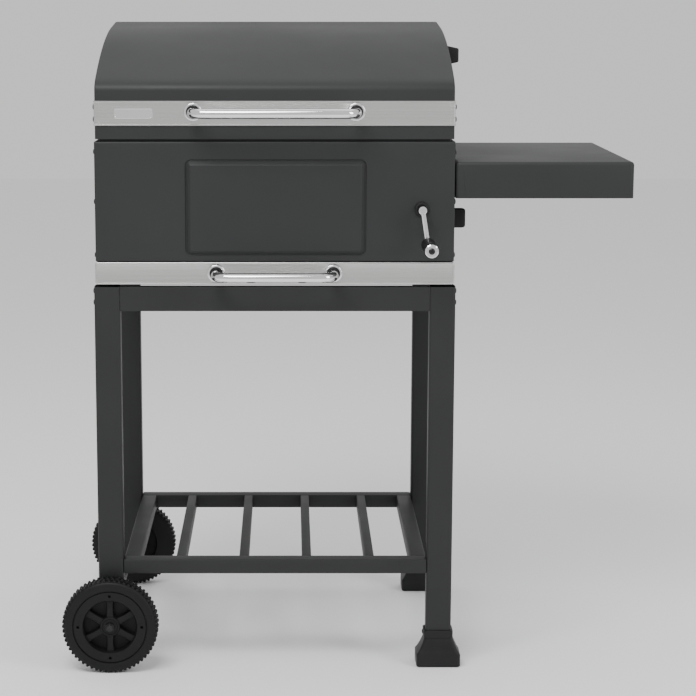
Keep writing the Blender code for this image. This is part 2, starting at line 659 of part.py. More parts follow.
# ---------------------------------------------------------------- wheels and axle
def wheel(name, body, back_y, outward):
    """Moulded wheel with tread lugs, six spokes and a hub; outward is the way it faces."""
    centre = (WHEEL_X, 0.0, WHEEL_Z)
    inner, outer = back_y, back_y + outward * WHEEL_WIDTH
    web_out = back_y + outward * WHEEL_WIDTH / 2
    web_in = web_out - outward * WHEEL_WEB_THICK
    boss = back_y - outward * (WHEEL_SPACER - GAP)
    hub_face = outer - outward * WHEEL_HUB_RECESS
    rim_inner = WHEEL_RADIUS - WHEEL_RIM_DEPTH
    tread = WHEEL_RADIUS - WHEEL_LUG_DEPTH
    bore = AXLE_RADIUS + AXLE_FIT
    profile = [
        (bore, boss),
        (WHEEL_HUB_RADIUS, boss),
        (WHEEL_HUB_RADIUS, web_in),
        (rim_inner, web_in),
        (rim_inner, inner + outward * 0.003),
        (WHEEL_RADIUS - WHEEL_SHOULDER_DROP, inner + outward * 0.002),
        (tread, inner + outward * WHEEL_SHOULDER),
        (tread, outer - outward * WHEEL_SHOULDER),
        (WHEEL_RADIUS - 0.010, outer - outward * 0.001),
        (WHEEL_RADIUS - WHEEL_RING_DEPTH, outer - outward * 0.001),
        (rim_inner, outer - outward * 0.003),
        (rim_inner, web_out),
        (WHEEL_HUB_RADIUS, web_out),
        (WHEEL_HUB_RADIUS, hub_face),
        (bore, hub_face),
    ]
    bm = bmesh.new()
    steps = 2 * WHEEL_LUGS
    add_turned(bm, profile, centre, steps)
    bmesh.ops.remove_doubles(bm, verts=bm.verts, dist=1e-6)
    bmesh.ops.recalc_face_normals(bm, faces=bm.faces)
    lug_faces = []
    for face in bm.faces:
        spot = face.calc_center_median()
        reach = hypot(spot.x - centre[0], spot.z - centre[2])
        if reach > tread - 0.001:
            turn = atan2(spot.z - centre[2], spot.x - centre[0]) % tau
            if int(turn / tau * steps) % 2 == 0:
                lug_faces.append(face)
    raised = bmesh.ops.extrude_discrete_faces(bm, faces=lug_faces)["faces"]
    for face in raised:
        spot = face.calc_center_median()
        way = Vector((spot.x - centre[0], 0.0, spot.z - centre[2])).normalized()
        bmesh.ops.translate(bm, verts=face.verts, vec=way * WHEEL_LUG_DEPTH)
    piece = finish_mesh(name, bm, body, PLASTIC, radians(35))
    pockets = bmesh.new()
    low, high = sorted((web_in + outward * POCKET_FLOOR, web_out + outward * 0.001))
    for index in range(WHEEL_SPOKES):
        middle = pi / 2 + (index + 0.5) * tau / WHEEL_SPOKES
        outline = []
        for reach, spread, order in (
            (POCKET_START, POCKET_SPREAD_IN, 1),
            (rim_inner - POCKET_EDGE, POCKET_SPREAD_OUT, -1),
        ):
            for step in (-1.0, 0.0, 1.0):
                angle = middle + order * step * spread
                outline.append((WHEEL_X + reach * cos(angle), WHEEL_Z + reach * sin(angle)))
        add_prism(pockets, outline, "y", low, high)
    cutter(piece, pockets)


wheel("wheel_front", front_wheel_axis, FRONT_WHEEL_BACK, -1)
wheel("wheel_rear", rear_wheel_axis, REAR_WHEEL_FRONT, 1)

cylinder("axle", cart, ZINC, (WHEEL_X, WHEEL_Z), AXLE_RADIUS, "y", AXLE_FRONT, AXLE_REAR, 16)


def axle_nut(name, outer, outward):
    start = outer - outward * (WHEEL_HUB_RECESS - GAP)
    low, high = sorted((start, start + outward * NUT_THICK))
    radius = NUT_ACROSS / 2 / cos(pi / 6)
    return cylinder(name, cart, ZINC, (WHEEL_X, WHEEL_Z), radius, "y", low, high, 6, AXLE_RADIUS + GAP)


axle_nut("axle_nut_front", FRONT_WHEEL_BACK - WHEEL_WIDTH, -1)
axle_nut("axle_nut_rear", REAR_WHEEL_FRONT + WHEEL_WIDTH, 1)


# ---------------------------------------------------------------- firebox
def rim_path(outer, inward):
    """The folded upper edge that every firebox panel shares, as (distance, z) points."""
    return [
        (outer, FIREBOX_TOP),
        (outer + inward * LIP_INSET, FIREBOX_TOP),
        (outer + inward * LIP_INSET, FIREBOX_TOP + LIP_RISE),
    ]


def wrapped_panel(name, outer, inward, bottom, flange_y):
    """Front or rear panel: a web with a rim, a lower flange and two side returns."""
    half = BODY_HALF
    path = [(outer + inward * BOTTOM_FLANGE, bottom), (outer, bottom)] + rim_path(outer, inward)
    web_half = SIDE_OUTER - SHEET - BOTTOM_FLANGE
    bm = bmesh.new()
    strip = folded(path, -inward * SHEET)
    add_prism(bm, strip, "x", -web_half, web_half)
    piece = finish_mesh(name, bm, cart, DARK_PAINT)
    wrap = bmesh.new()
    turned = [(-half, flange_y), (-half, outer), (half, outer), (half, flange_y)]
    add_prism(wrap, folded(turned, inward * SHEET), "z", bottom, FIREBOX_TOP)
    fuse(piece, wrap)
    return piece


def stamp_block(piece, grow, outer_y, inner_y, rise, operation):
    """Adds or removes a bevelled block with the stamp's outline grown by a distance."""
    low = (STAMP_LEFT - grow, STAMP_BOTTOM - grow)
    high = (STAMP_RIGHT + grow, STAMP_TOP + grow)
    top_low = (low[0] + STAMP_BEVEL, low[1] + STAMP_BEVEL)
    top_high = (high[0] - STAMP_BEVEL, high[1] - STAMP_BEVEL)
    bm = bmesh.new()
    rings = []
    for outline, y in (
        (rounded(low, high, STAMP_CORNER + grow), inner_y),
        (rounded(low, high, STAMP_CORNER + grow), outer_y),
        (rounded(top_low, top_high, STAMP_CORNER / 2), rise),
    ):
        rings.append([bm.verts.new((x, y, z)) for x, z in outline])
    skin(bm, rings)
    shape_with(piece, bm, operation)


def front_stamp(piece):
    """Raises the rectangular field on the front panel and hollows its back to match."""
    stamp_block(piece, 0.0, 0.0, SHEET / 2, -STAMP_RISE, "UNION")
    stamp_block(piece, -SHEET, SHEET, SHEET + GAP, SHEET - STAMP_RISE, "DIFFERENCE")


front_panel = wrapped_panel("front_panel", 0.0, 1, PANEL_BOTTOM, SIDE_FLANGE)
front_stamp(front_panel)
hole(front_panel, (CRANK_X, CRANK_Z), SPINDLE_RADIUS + SPINDLE_FIT, "y", -0.01, 0.01)
rear_panel = wrapped_panel("rear_panel", CART_DEPTH, -1, FIREBOX_BOTTOM, CART_DEPTH - SIDE_FLANGE)
hole(rear_panel, (CRANK_X, CRANK_Z), SPINDLE_RADIUS + SPINDLE_FIT, "y", CART_DEPTH - 0.01, CART_DEPTH + 0.01)


def side_panel(name, side):
    """Side wall with the rim, a lower flange and a step that clears the drawer front."""
    outer = side * SIDE_OUTER
    path = [(outer - side * BOTTOM_FLANGE, FIREBOX_BOTTOM), (outer, FIREBOX_BOTTOM)]
    path += rim_path(outer, -side)
    start = SHEET + GAP + LIP_INSET + SHEET
    end = CART_DEPTH - start
    piece = prism(name, cart, DARK_PAINT, folded(path, side * SHEET), "y", start, end)
    fill = bmesh.new()
    low_x, high_x = sorted((outer, outer - side * SHEET))
    front, back = SHEET + GAP, CART_DEPTH - SHEET - GAP
    add_box(fill, (low_x, front, FIREBOX_BOTTOM), (high_x, back, FIREBOX_TOP - GAP))
    fuse(piece, fill)
    step = bmesh.new()
    clear_x = sorted((side * (SIDE_OUTER + SHEET), side * (SIDE_OUTER - BOTTOM_FLANGE - SHEET)))
    notch_back = DRAWER_FRONT_RETURN + 0.003
    add_box(step, (clear_x[0], -GAP, FIREBOX_BOTTOM - GAP), (clear_x[1], notch_back, PANEL_BOTTOM))
    cutter(piece, step)
    return piece


def vent_slots(piece, low_x, high_x, middle_y, middle_z):
    """Row of upright air slots in a side wall or a slider."""
    boxes = []
    for index in range(VENT_SLOTS):
        y = middle_y + (index - (VENT_SLOTS - 1) / 2) * VENT_SLOT_PITCH
        low = (low_x, y - VENT_SLOT_WIDTH / 2, middle_z - VENT_SLOT_HEIGHT / 2)
        high = (high_x, y + VENT_SLOT_WIDTH / 2, middle_z + VENT_SLOT_HEIGHT / 2)
        boxes.append((low, high))
    slot_cut(piece, boxes)


side_panel("side_panel_left", -1)
side_panel_right = side_panel("side_panel_right", 1)
vent_slots(side_panel_right, SIDE_OUTER - 0.01, SIDE_OUTER + 0.01, BOX_VENT_Y, BOX_VENT_Z)


def vent_slider(names, body, wall_x, middle_y, middle_z, knob_z, reach):
    """Perforated plate that slides along a wall, and the moulded knob on it."""
    low_x, high_x = wall_x + GAP, wall_x + GAP + VENT_PLATE_THICK
    half_slot = VENT_SLOT_WIDTH / 2
    low_y = middle_y - VENT_SLOTS / 2 * VENT_SLOT_PITCH - half_slot - VENT_MARGIN
    high_y = middle_y + (VENT_SLOTS - 1) / 2 * VENT_SLOT_PITCH + half_slot + VENT_MARGIN
    half_height = VENT_SLOT_HEIGHT / 2 + VENT_MARGIN
    low, high = (low_y, middle_z - half_height), (high_y, middle_z + half_height)
    top = knob_z + KNOB_HEIGHT / 2 + 0.002
    bm = bmesh.new()
    add_prism(bm, rounded(low, high, VENT_CORNER), "x", low_x, high_x)
    piece = finish_mesh(names[0], bm, body, DARK_PAINT)
    if top > high[1]:
        tab = bmesh.new()
        tab_low = (middle_y - VENT_TAB_HALF, high[1] - VENT_CORNER)
        tab_high = (middle_y + VENT_TAB_HALF, top)
        add_prism(tab, rounded(tab_low, tab_high, VENT_TAB_CORNER), "x", low_x, high_x)
        fuse(piece, tab)
    closed_y = middle_y - VENT_SLOT_PITCH / 2
    vent_slots(piece, low_x - GAP, high_x + GAP, closed_y, middle_z)
    base = high_x + GAP
    tip = wall_x + reach
    half = KNOB_HEIGHT / 2
    outline = [
        (base, knob_z - half),
        (tip - 0.006, knob_z - half * 0.85),
        (tip, knob_z - half * 0.62),
        (tip, knob_z + half * 0.72),
        (tip - 0.004, knob_z + half * 0.95),
        (base, knob_z + half),
    ]
    start_y, end_y = middle_y - KNOB_HALF_WIDTH, middle_y + KNOB_HALF_WIDTH
    knob = prism(names[1], body, PLASTIC, outline, "y", start_y, end_y)
    round_edges = knob.modifiers.new("soft edges", "BEVEL")
    round_edges.width = KNOB_ROUND
    round_edges.segments = 2
    round_edges.limit_method = "ANGLE"


vent_slider(
    ("firebox_vent_slider", "firebox_vent_knob"),
    box_vent_slide, SIDE_OUTER, BOX_VENT_Y, BOX_VENT_Z, BOX_VENT_Z, BOX_KNOB_REACH,
)


# ---------------------------------------------------------------- ash drawer
def ash_drawer():
    """Steel front, a sheet tray behind it, and a chrome bow handle."""
    returns = [
        (-DRAWER_HALF, DRAWER_FRONT_RETURN),
        (-DRAWER_HALF, 0.0),
        (DRAWER_HALF, 0.0),
        (DRAWER_HALF, DRAWER_FRONT_RETURN),
    ]
    outline = folded(returns, SHEET)
    prism("drawer_front", drawer_slide, STAINLESS, outline, "z", DRAWER_BOTTOM, DRAWER_TOP)
    open_tray(
        "ash_tray", drawer_slide, ENAMEL,
        (-TRAY_HALF, SHEET + GAP, TRAY_BOTTOM),
        (TRAY_HALF, TRAY_BACK, TRAY_TOP),
    )


def open_tray(name, body, finish, low, high):
    """Sheet pan with an open top."""
    piece = box(name, body, finish, low, high)
    inside = bmesh.new()
    add_box(
        inside,
        (low[0] + SHEET, low[1] + SHEET, low[2] + SHEET),
        (high[0] - SHEET, high[1] - SHEET, high[2] + GAP),
    )
    cutter(piece, inside)
    return piece


def bow_handle(prefix, body, half, height, front):
    """Bent chrome tube that ends in two round rosettes on a plate at y = front."""
    face = front - ROSETTE_THICK - 2 * GAP
    depth = HANDLE_STANDOFF - ROSETTE_THICK
    path = bow(half, depth, HANDLE_BEND, height, face)
    bent_bar(prefix + "_handle", body, CHROME, path, HANDLE_RADIUS)
    for side, x in (("left", -half), ("right", half)):
        start, end = front - GAP - ROSETTE_THICK, front - GAP
        rosette = cylinder(
            prefix + "_rosette_" + side, body, CHROME, (x, height), ROSETTE_RADIUS, "y", start, end, 24
        )
        dome = rosette.modifiers.new("dome", "BEVEL")
        dome.width = ROSETTE_DOME
        dome.segments = 2
        dome.limit_method = "ANGLE"
        dome.angle_limit = radians(60)


ash_drawer()
bow_handle("drawer", drawer_slide, DRAWER_HANDLE_HALF, DRAWER_HANDLE_Z, 0.0)

for side, side_name in ((-1, "left"), (1, "right")):
    wall = side * (SIDE_OUTER - SHEET - GAP)
    path = [(wall, RAIL_FLOOR + RAIL_HEIGHT), (wall, RAIL_FLOOR), (wall - side * RAIL_SHELF, RAIL_FLOOR)]
    rail_outline = folded(path, -side * BRACKET)
    rail_end = TRAY_BACK + RAIL_OVERRUN
    prism("drawer_rail_" + side_name, cart, ZINC, rail_outline, "y", RAIL_START, rail_end)


# ---------------------------------------------------------------- lid
def lid_profile(inset):
    """Side outline of the lid, from the front lower edge over the top to the rear edge."""
    front = inset
    rear = CART_DEPTH - inset
    crest = LID_CREST - inset
    radius = LID_ARC_RADIUS - inset
    centre_z = LID_SHOULDER + LID_ARCH_HEIGHT - LID_ARC_RADIUS
    half_angle = atan2(LID_CREST_Y, LID_ARC_RADIUS - LID_ARCH_HEIGHT)
    arc = []
    for step in range(LID_ARC_STEPS + 1):
        angle = half_angle + (LID_END_SLOPE - half_angle) * step / LID_ARC_STEPS
        y = LID_CREST_Y - radius * sin(angle)
        if y > front + LID_FRONT_RADIUS * 0.75:
            arc.append((y, centre_z + radius * cos(angle)))
    arc.append((LID_CREST_Y, centre_z + radius / cos(LID_END_SLOPE)))
    first_y, first_z = arc[0]
    soft = []
    for share in (0.0, 0.25, 0.5, 0.75):
        keep = 1 - share
        corner_z = first_z - (first_y - front) * LID_SHOULDER_SLOPE
        low_z = corner_z - LID_FRONT_RADIUS * 0.6
        y = keep * keep * front + 2 * keep * share * front + share * share * first_y
        z = keep * keep * low_z + 2 * keep * share * corner_z + share * share * first_z
        soft.append((y, z))
    radius = LID_REAR_RADIUS - inset
    back = []
    for step in range(LID_REAR_STEPS + 1):
        angle = pi / 2 * (1 - step / LID_REAR_STEPS)
        back.append((rear - radius + radius * cos(angle), crest - radius + radius * sin(angle)))
    return [(front, LID_BOTTOM)] + soft + arc + back + [(rear, LID_BOTTOM)]


def lid_shell():
    """One bent sheet: upright front, long arched top, rounded back."""
    outer = lid_profile(0.0)
    inner = lid_profile(SHEET)
    half = LID_HALF - SHEET - GAP
    prism("lid_shell", lid_axis, DARK_PAINT, outer + inner[::-1], "x", -half, half, radians(30))


def lid_end(side_name, side):
    """Flat end plate with a fold along its lower edge that sits on the firebox lip."""
    outer = side * LID_HALF
    low_x, high_x = sorted((outer, outer - side * SHEET))
    piece = prism("lid_end_" + side_name, lid_axis, DARK_PAINT, lid_profile(0.0), "x", low_x, high_x)
    flange = bmesh.new()
    flange_z = FIREBOX_TOP + LIP_RISE + GAP
    start, end = LID_FLANGE_END, CART_DEPTH - LID_FLANGE_END
    edges = sorted((outer - side * SHEET / 2, outer - side * LID_END_FLANGE))
    add_box(flange, (edges[0], start, flange_z), (edges[1], end, flange_z + SHEET))
    fuse(piece, flange)
    return piece


lid_shell()
lid_end("left", -1)
lid_end_right = lid_end("right", 1)
vent_slots(lid_end_right, LID_HALF - 0.01, LID_HALF + 0.01, LID_VENT_Y, LID_VENT_Z)
vent_slider(
    ("lid_vent_slider", "lid_vent_knob"),
    lid_vent_slide, LID_HALF, LID_VENT_Y, LID_VENT_Z, LID_KNOB_Z, LID_KNOB_REACH,
)

band_path = [(-BAND_HALF, BAND_RETURN), (-BAND_HALF, -GAP), (BAND_HALF, -GAP), (BAND_HALF, BAND_RETURN)]
prism("lid_band", lid_axis, STAINLESS, folded(band_path, -BAND_SHEET), "z", BAND_BOTTOM, BAND_TOP)
bow_handle("lid", lid_axis, LID_HANDLE_HALF, LID_HANDLE_Z, -GAP - BAND_SHEET)


# ---------------------------------------------------------------- hinges
def hinge(side_name, middle_x):
    """Butt hinge behind the cart; its lower leaf has a tongue that stops the open lid."""
    third = HINGE_LENGTH / 3
    start = middle_x - HINGE_LENGTH / 2
    face = CART_DEPTH + GAP
    knuckle = circle((HINGE_Y, HINGE_Z), HINGE_KNUCKLE_RADIUS, 16)
    pin_hole = HINGE_PIN_RADIUS + GAP
    pin_start, pin_end = start - HINGE_PIN_OVERRUN, start + HINGE_LENGTH + HINGE_PIN_OVERRUN
    for name, body, up in (("hinge_fixed_leaf_", cart, -1), ("hinge_lid_leaf_", lid_axis, 1)):
        edge = HINGE_Z + up * (HINGE_KNUCKLE_RADIUS + HINGE_LEAF_STEP)
        low_z, high_z = sorted((edge, edge + up * HINGE_LEAF_HEIGHT))
        plate = bmesh.new()
        add_box(plate, (start, face, low_z), (start + HINGE_LENGTH, face + BRACKET, high_z))
        piece = finish_mesh(name + side_name, plate, body, ZINC, radians(40))
        spans = [(start, start + third), (start + 2 * third, start + HINGE_LENGTH)]
        if up > 0:
            spans = [(start + third + GAP, start + 2 * third - GAP)]
        rolls = bmesh.new()
        for low_x, high_x in spans:
            add_prism(rolls, knuckle, "x", low_x, high_x)
        fuse(piece, rolls)
        webs = bmesh.new()
        web_low, web_high = sorted((HINGE_Z, edge + up * 0.002))
        for low_x, high_x in spans:
            add_box(webs, (low_x, face, web_low), (high_x, face + BRACKET, web_high))
        fuse(piece, webs)
        if up < 0:
            tongue = bmesh.new()
            top = HINGE_Z - HINGE_STOP_DROP
            tongue_end = HINGE_Y + HINGE_STOP_REACH
            inset = third * 0.4
            add_box(
                tongue,
                (start + inset, face, top - BRACKET),
                (start + HINGE_LENGTH - inset, tongue_end, top),
            )
            fuse(piece, tongue)
        hole(piece, (HINGE_Y, HINGE_Z), pin_hole, "x", pin_start, pin_end)
    axis_spot = (HINGE_Y, HINGE_Z)
    cylinder("hinge_pin_" + side_name, cart, ZINC, axis_spot, HINGE_PIN_RADIUS, "x", pin_start, pin_end, 12)


hinge("left", -HINGE_X)
hinge("right", HINGE_X)


# ---------------------------------------------------------------- side shelf
def side_shelf():
    """Pressed shelf: a top with deep edges folded down all round."""
    low = (SHELF_INNER, 0.0, SHELF_BOTTOM)
    high = (SHELF_OUTER, SHELF_BACK, SHELF_TOP)
    bm = bmesh.new()
    add_prism(bm, rounded(low[:2], high[:2], SHELF_CORNER), "z", low[2], high[2])
    piece = finish_mesh("side_shelf", bm, cart, DARK_PAINT)
    inside = bmesh.new()
    inner_low = (low[0] + SHEET, low[1] + SHEET)
    inner_high = (high[0] - SHEET, high[1] - SHEET)
    inner_outline = rounded(inner_low, inner_high, SHELF_CORNER - SHEET)
    add_prism(inside, inner_outline, "z", low[2] + SHEET, high[2] - SHEET)
    cutter(piece, inside)
    mouth = bmesh.new()
    add_box(
        mouth,
        (low[0] + SHELF_HEM, low[1] + SHELF_HEM, low[2] - GAP),
        (high[0] - SHELF_HEM, high[1] - SHELF_HEM, low[2] + 2 * SHEET),
    )
    cutter(piece, mouth)


side_shelf()


# ---------------------------------------------------------------- pan lift
def lift_guide(side_name, side):
    """Channel inside a side wall: upright slots hold the rods, its top fold is the grate ledge."""
    web = side * GUIDE_X
    reach = web - side * GUIDE_REACH
    path = [(reach, GUIDE_BOTTOM), (web, GUIDE_BOTTOM), (web, GRATE_LEDGE_Z), (reach, GRATE_LEDGE_Z)]
    start = SHEET + 2 * GAP
    piece = prism(
        "lift_guide_" + side_name, cart, ZINC, folded(path, side * BRACKET), "y", start, CART_DEPTH - start
    )
    low_x, high_x = sorted((web + side * 0.001, web - side * (BRACKET + 0.001)))
    half = ROD_RADIUS + ROD_FIT
    boxes = []
    for rod_y in (ROD_FRONT_Y, ROD_REAR_Y):
        low = (low_x, rod_y - half, ROD_LOW_Z - half)
        boxes.append((low, (high_x, rod_y + half, ROD_LOW_Z + PAN_LIFT + half)))
    slot_cut(piece, boxes)


def cam_plate(side_name, side):
    """Sliding plate whose sloping slots raise the rods as it moves back."""
    outer = side * CAM_X
    low_x, high_x = sorted((outer, outer - side * CAM_THICK))
    piece = box(
        "cam_plate_" + side_name, cam_slide, ZINC,
        (low_x, CAM_FRONT_Y, CAM_BOTTOM), (high_x, CAM_REAR_Y, CAM_TOP),
    )
    half = ROD_RADIUS + ROD_FIT
    slots = bmesh.new()
    for rod_y in (ROD_FRONT_Y, ROD_REAR_Y):
        low_end = Vector((rod_y, ROD_LOW_Z))
        high_end = Vector((rod_y - PAN_LIFT, ROD_LOW_Z + PAN_LIFT))
        way = (high_end - low_end).normalized()
        across = Vector((-way.y, way.x))
        outline = []
        for end, turn in ((low_end, pi), (high_end, 0.0)):
            for step in range(7):
                angle = turn - pi / 2 + step / 6 * pi
                spot = end + (way * cos(angle) + across * sin(angle)) * half
                outline.append(tuple(spot))
        add_prism(slots, outline, "x", low_x - 0.001, high_x + 0.001)
    cutter(piece, slots)


def lift_frame():
    """The two cam plates, the bar that ties them, and the nut that the spindle drives."""
    cam_plate("left", -1)
    cam_plate("right", 1)
    bar_half = CAM_X - CAM_THICK - GAP
    box(
        "cam_tie_bar", cam_slide, ZINC,
        (-bar_half, CAM_BAR_Y, CAM_BOTTOM), (bar_half, CAM_BAR_Y + CAM_BAR_WIDTH, CAM_BOTTOM + CAM_BAR_THICK),
    )
    nut_half = CAM_X - CAM_THICK - GAP - CRANK_X
    nut_y = CAM_BAR_Y + CAM_BAR_WIDTH / 2
    nut = box(
        "lift_nut", cam_slide, ZINC,
        (CRANK_X - nut_half * NUT_INNER_SHARE, nut_y - NUT_LENGTH / 2, CRANK_Z - nut_half),
        (CRANK_X + nut_half, nut_y + NUT_LENGTH / 2, CRANK_Z + nut_half),
    )
    bore = SPINDLE_RADIUS + SPINDLE_FIT
    hole(nut, (CRANK_X, CRANK_Z), bore, "y", nut_y - NUT_LENGTH / 2, nut_y + NUT_LENGTH / 2)


lift_guide("left", -1)
lift_guide("right", 1)
lift_frame()

for rod_name, rod_y in (("lift_rod_front", ROD_FRONT_Y), ("lift_rod_rear", ROD_REAR_Y)):
    rod_half = GUIDE_X + ROD_OVERRUN
    cylinder(rod_name, pan_lift, ZINC, (rod_y, ROD_LOW_Z), ROD_RADIUS, "x", -rod_half, rod_half, 12)

pan = open_tray(
    "charcoal_pan", pan_lift, ENAMEL,
    (-PAN_HALF, PAN_END_ROOM, PAN_BOTTOM), (PAN_HALF, PAN_REAR_Y, PAN_BOTTOM + PAN_HEIGHT),
)
pan_pitch = 2 * (PAN_HALF - PAN_SLOT_SIDE) / PAN_SLOTS
pan_cuts = []
for pan_slot in range(PAN_SLOTS):
    slot_x = (pan_slot - (PAN_SLOTS - 1) / 2) * pan_pitch
    slot_low = (slot_x - PAN_SLOT_WIDTH / 2, PAN_END_ROOM + PAN_SLOT_END, PAN_BOTTOM - GAP)
    slot_high = (slot_x + PAN_SLOT_WIDTH / 2, PAN_REAR_Y - PAN_SLOT_END, PAN_BOTTOM + 2 * SHEET)
    pan_cuts.append((slot_low, slot_high))
slot_cut(pan, pan_cuts)


# ---------------------------------------------------------------- cooking grates
def cooking_grate(side_name, side):
    """Half of the cooking surface: bars running back inside a square rim."""
    outer = side * (GUIDE_X - BRACKET - 2 * GAP)
    low_x, high_x = sorted((outer, side * GRATE_SPLIT / 2))
    front, rear = GRATE_END_ROOM, CART_DEPTH - GRATE_END_ROOM
    low_z, high_z = GRATE_LEDGE_Z + GAP, GRATE_LEDGE_Z + GAP + GRATE_THICK
    piece = box("cooking_grate_" + side_name, cart, ENAMEL, (low_x, front, low_z), (high_x, rear, high_z))
    bay = (high_x - low_x - 2 * GRATE_RIM + GRATE_BAR) / GRATE_BARS
    middle = (front + rear) / 2
    bays = []
    for index in range(GRATE_BARS):
        start = low_x + GRATE_RIM + index * bay
        for near, far in (
            (front + GRATE_RIM, middle - GRATE_BAR / 2),
            (middle + GRATE_BAR / 2, rear - GRATE_RIM),
        ):
            bays.append(((start, near, low_z - GAP), (start + bay - GRATE_BAR, far, high_z + GAP)))
    slot_cut(piece, bays)


cooking_grate("left", -1)
cooking_grate("right", 1)


# ---------------------------------------------------------------- crank
def crank():
    """Spindle through the firebox, a bent crank rod, and the grip that turns on it."""
    spindle_end = CART_DEPTH + SPINDLE_OVERRUN
    start_y = CRANK_ROD_Y + CRANK_ROD_RADIUS + GAP
    cylinder("spindle", crank_axis, ZINC, (CRANK_X, CRANK_Z), SPINDLE_RADIUS, "y", start_y, spindle_end, 16)
    top = Vector((CRANK_X, CRANK_ROD_Y, CRANK_Z))
    bottom = top + CRANK_DOWN * CRANK_RADIUS
    path = [tuple(top - CRANK_DOWN * CRANK_TOP_END), tuple(top)]
    for step in range(5):
        angle = step / 4 * pi / 2
        back = Vector((0.0, CRANK_BEND * (1 - cos(angle)), 0.0))
        spot = bottom - CRANK_DOWN * CRANK_BEND * (1 - sin(angle)) - back
        path.append(tuple(spot))
    path.append((bottom.x, GRIP_END_Y + CRANK_TIP_ROOM, bottom.z))
    bent_bar("crank_arm", crank_axis, CHROME, path, CRANK_ROD_RADIUS)
    grip = cylinder(
        "crank_grip", grip_axis, PLASTIC, (bottom.x, bottom.z), GRIP_RADIUS, "y", GRIP_END_Y, GRIP_START_Y, 20
    )
    round_ends = grip.modifiers.new("round ends", "BEVEL")
    round_ends.width = GRIP_ROUND
    round_ends.segments = 2
    round_ends.limit_method = "ANGLE"
    round_ends.angle_limit = radians(60)
    hole(grip, (bottom.x, bottom.z), CRANK_ROD_RADIUS + GAP, "y", GRIP_END_Y, GRIP_START_Y, 12)
    cylinder(
        "spindle_escutcheon", cart, PLASTIC, (CRANK_X, CRANK_Z), ESCUTCHEON_RADIUS, "y",
        -GAP - ESCUTCHEON_THICK, -GAP, 20, SPINDLE_RADIUS + SPINDLE_FIT,
    )


crank()
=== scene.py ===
"""Looks of the charcoal grill cart, laid out as an add-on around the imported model."""

import json
from math import atan2, cos, pi, radians, sin, tau

import bmesh
import bpy
from bpy.props import FloatProperty, FloatVectorProperty, IntProperty, PointerProperty
from mathutils import Matrix, Vector

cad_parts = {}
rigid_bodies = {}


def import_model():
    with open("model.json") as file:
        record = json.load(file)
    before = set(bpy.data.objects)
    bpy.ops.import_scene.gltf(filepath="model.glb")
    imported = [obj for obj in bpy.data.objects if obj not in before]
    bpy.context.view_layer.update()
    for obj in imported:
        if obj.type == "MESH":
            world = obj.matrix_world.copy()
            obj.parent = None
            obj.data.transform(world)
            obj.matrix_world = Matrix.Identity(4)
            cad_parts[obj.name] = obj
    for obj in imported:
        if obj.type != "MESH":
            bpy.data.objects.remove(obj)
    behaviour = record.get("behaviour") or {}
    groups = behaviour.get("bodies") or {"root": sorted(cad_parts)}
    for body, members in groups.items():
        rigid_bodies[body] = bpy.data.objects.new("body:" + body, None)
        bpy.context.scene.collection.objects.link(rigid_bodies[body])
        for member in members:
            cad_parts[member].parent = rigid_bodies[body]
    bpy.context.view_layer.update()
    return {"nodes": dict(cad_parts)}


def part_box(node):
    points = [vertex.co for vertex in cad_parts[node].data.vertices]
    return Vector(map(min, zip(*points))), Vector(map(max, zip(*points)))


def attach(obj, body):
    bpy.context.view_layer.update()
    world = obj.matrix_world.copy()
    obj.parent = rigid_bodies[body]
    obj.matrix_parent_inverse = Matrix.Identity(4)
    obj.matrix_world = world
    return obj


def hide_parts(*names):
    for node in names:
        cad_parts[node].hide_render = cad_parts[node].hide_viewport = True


bl_info = {
    "name": "Charcoal Grill Cart",
    "version": (1, 0, 0),
    "blender": (4, 5, 0),
    "location": "3D View > Sidebar > Grill Cart",
    "description": "Builds the visible pieces, finishes and stage of a charcoal grill cart",
    "category": "Object",
}

for old in list(bpy.data.objects):
    bpy.data.objects.remove(old, do_unlink=True)
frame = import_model()
SHADE_ANGLE = radians(32)
SHEET = 0.0012


# ---------------------------------------------------------------- sizes and colours
class GrillSizes(bpy.types.PropertyGroup):
    """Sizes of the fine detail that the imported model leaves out."""

    bend_radius: FloatProperty(
        name="Sheet bend", description="Outer radius of the pressed sheet edges",
        default=0.0028, unit="LENGTH",
    )
    shelf_bend: FloatProperty(
        name="Shelf bend", description="Outer radius of the shelf's upper edges",
        default=0.0055, unit="LENGTH",
    )
    stamp_rise: FloatProperty(
        name="Stamp rise", description="How far the front panel's field stands out",
        default=0.0046, unit="LENGTH",
    )
    stamp_bevel: FloatProperty(
        name="Stamp slope", description="Width of the slope around the stamped field",
        default=0.0100, unit="LENGTH",
    )
    tube_sides: IntProperty(
        name="Tube sides", description="Facets around each bent tube", default=32, min=12,
    )
    screw_radius: FloatProperty(
        name="Screw head", description="Radius of the sheet screws' heads",
        default=0.0045, unit="LENGTH",
    )
    tread_lugs: IntProperty(
        name="Tread lugs", description="Lugs around each wheel", default=60, min=20,
    )
    wire_radius: FloatProperty(
        name="Grate wire", description="Radius of the cooking grates' wires",
        default=0.0022, unit="LENGTH",
    )


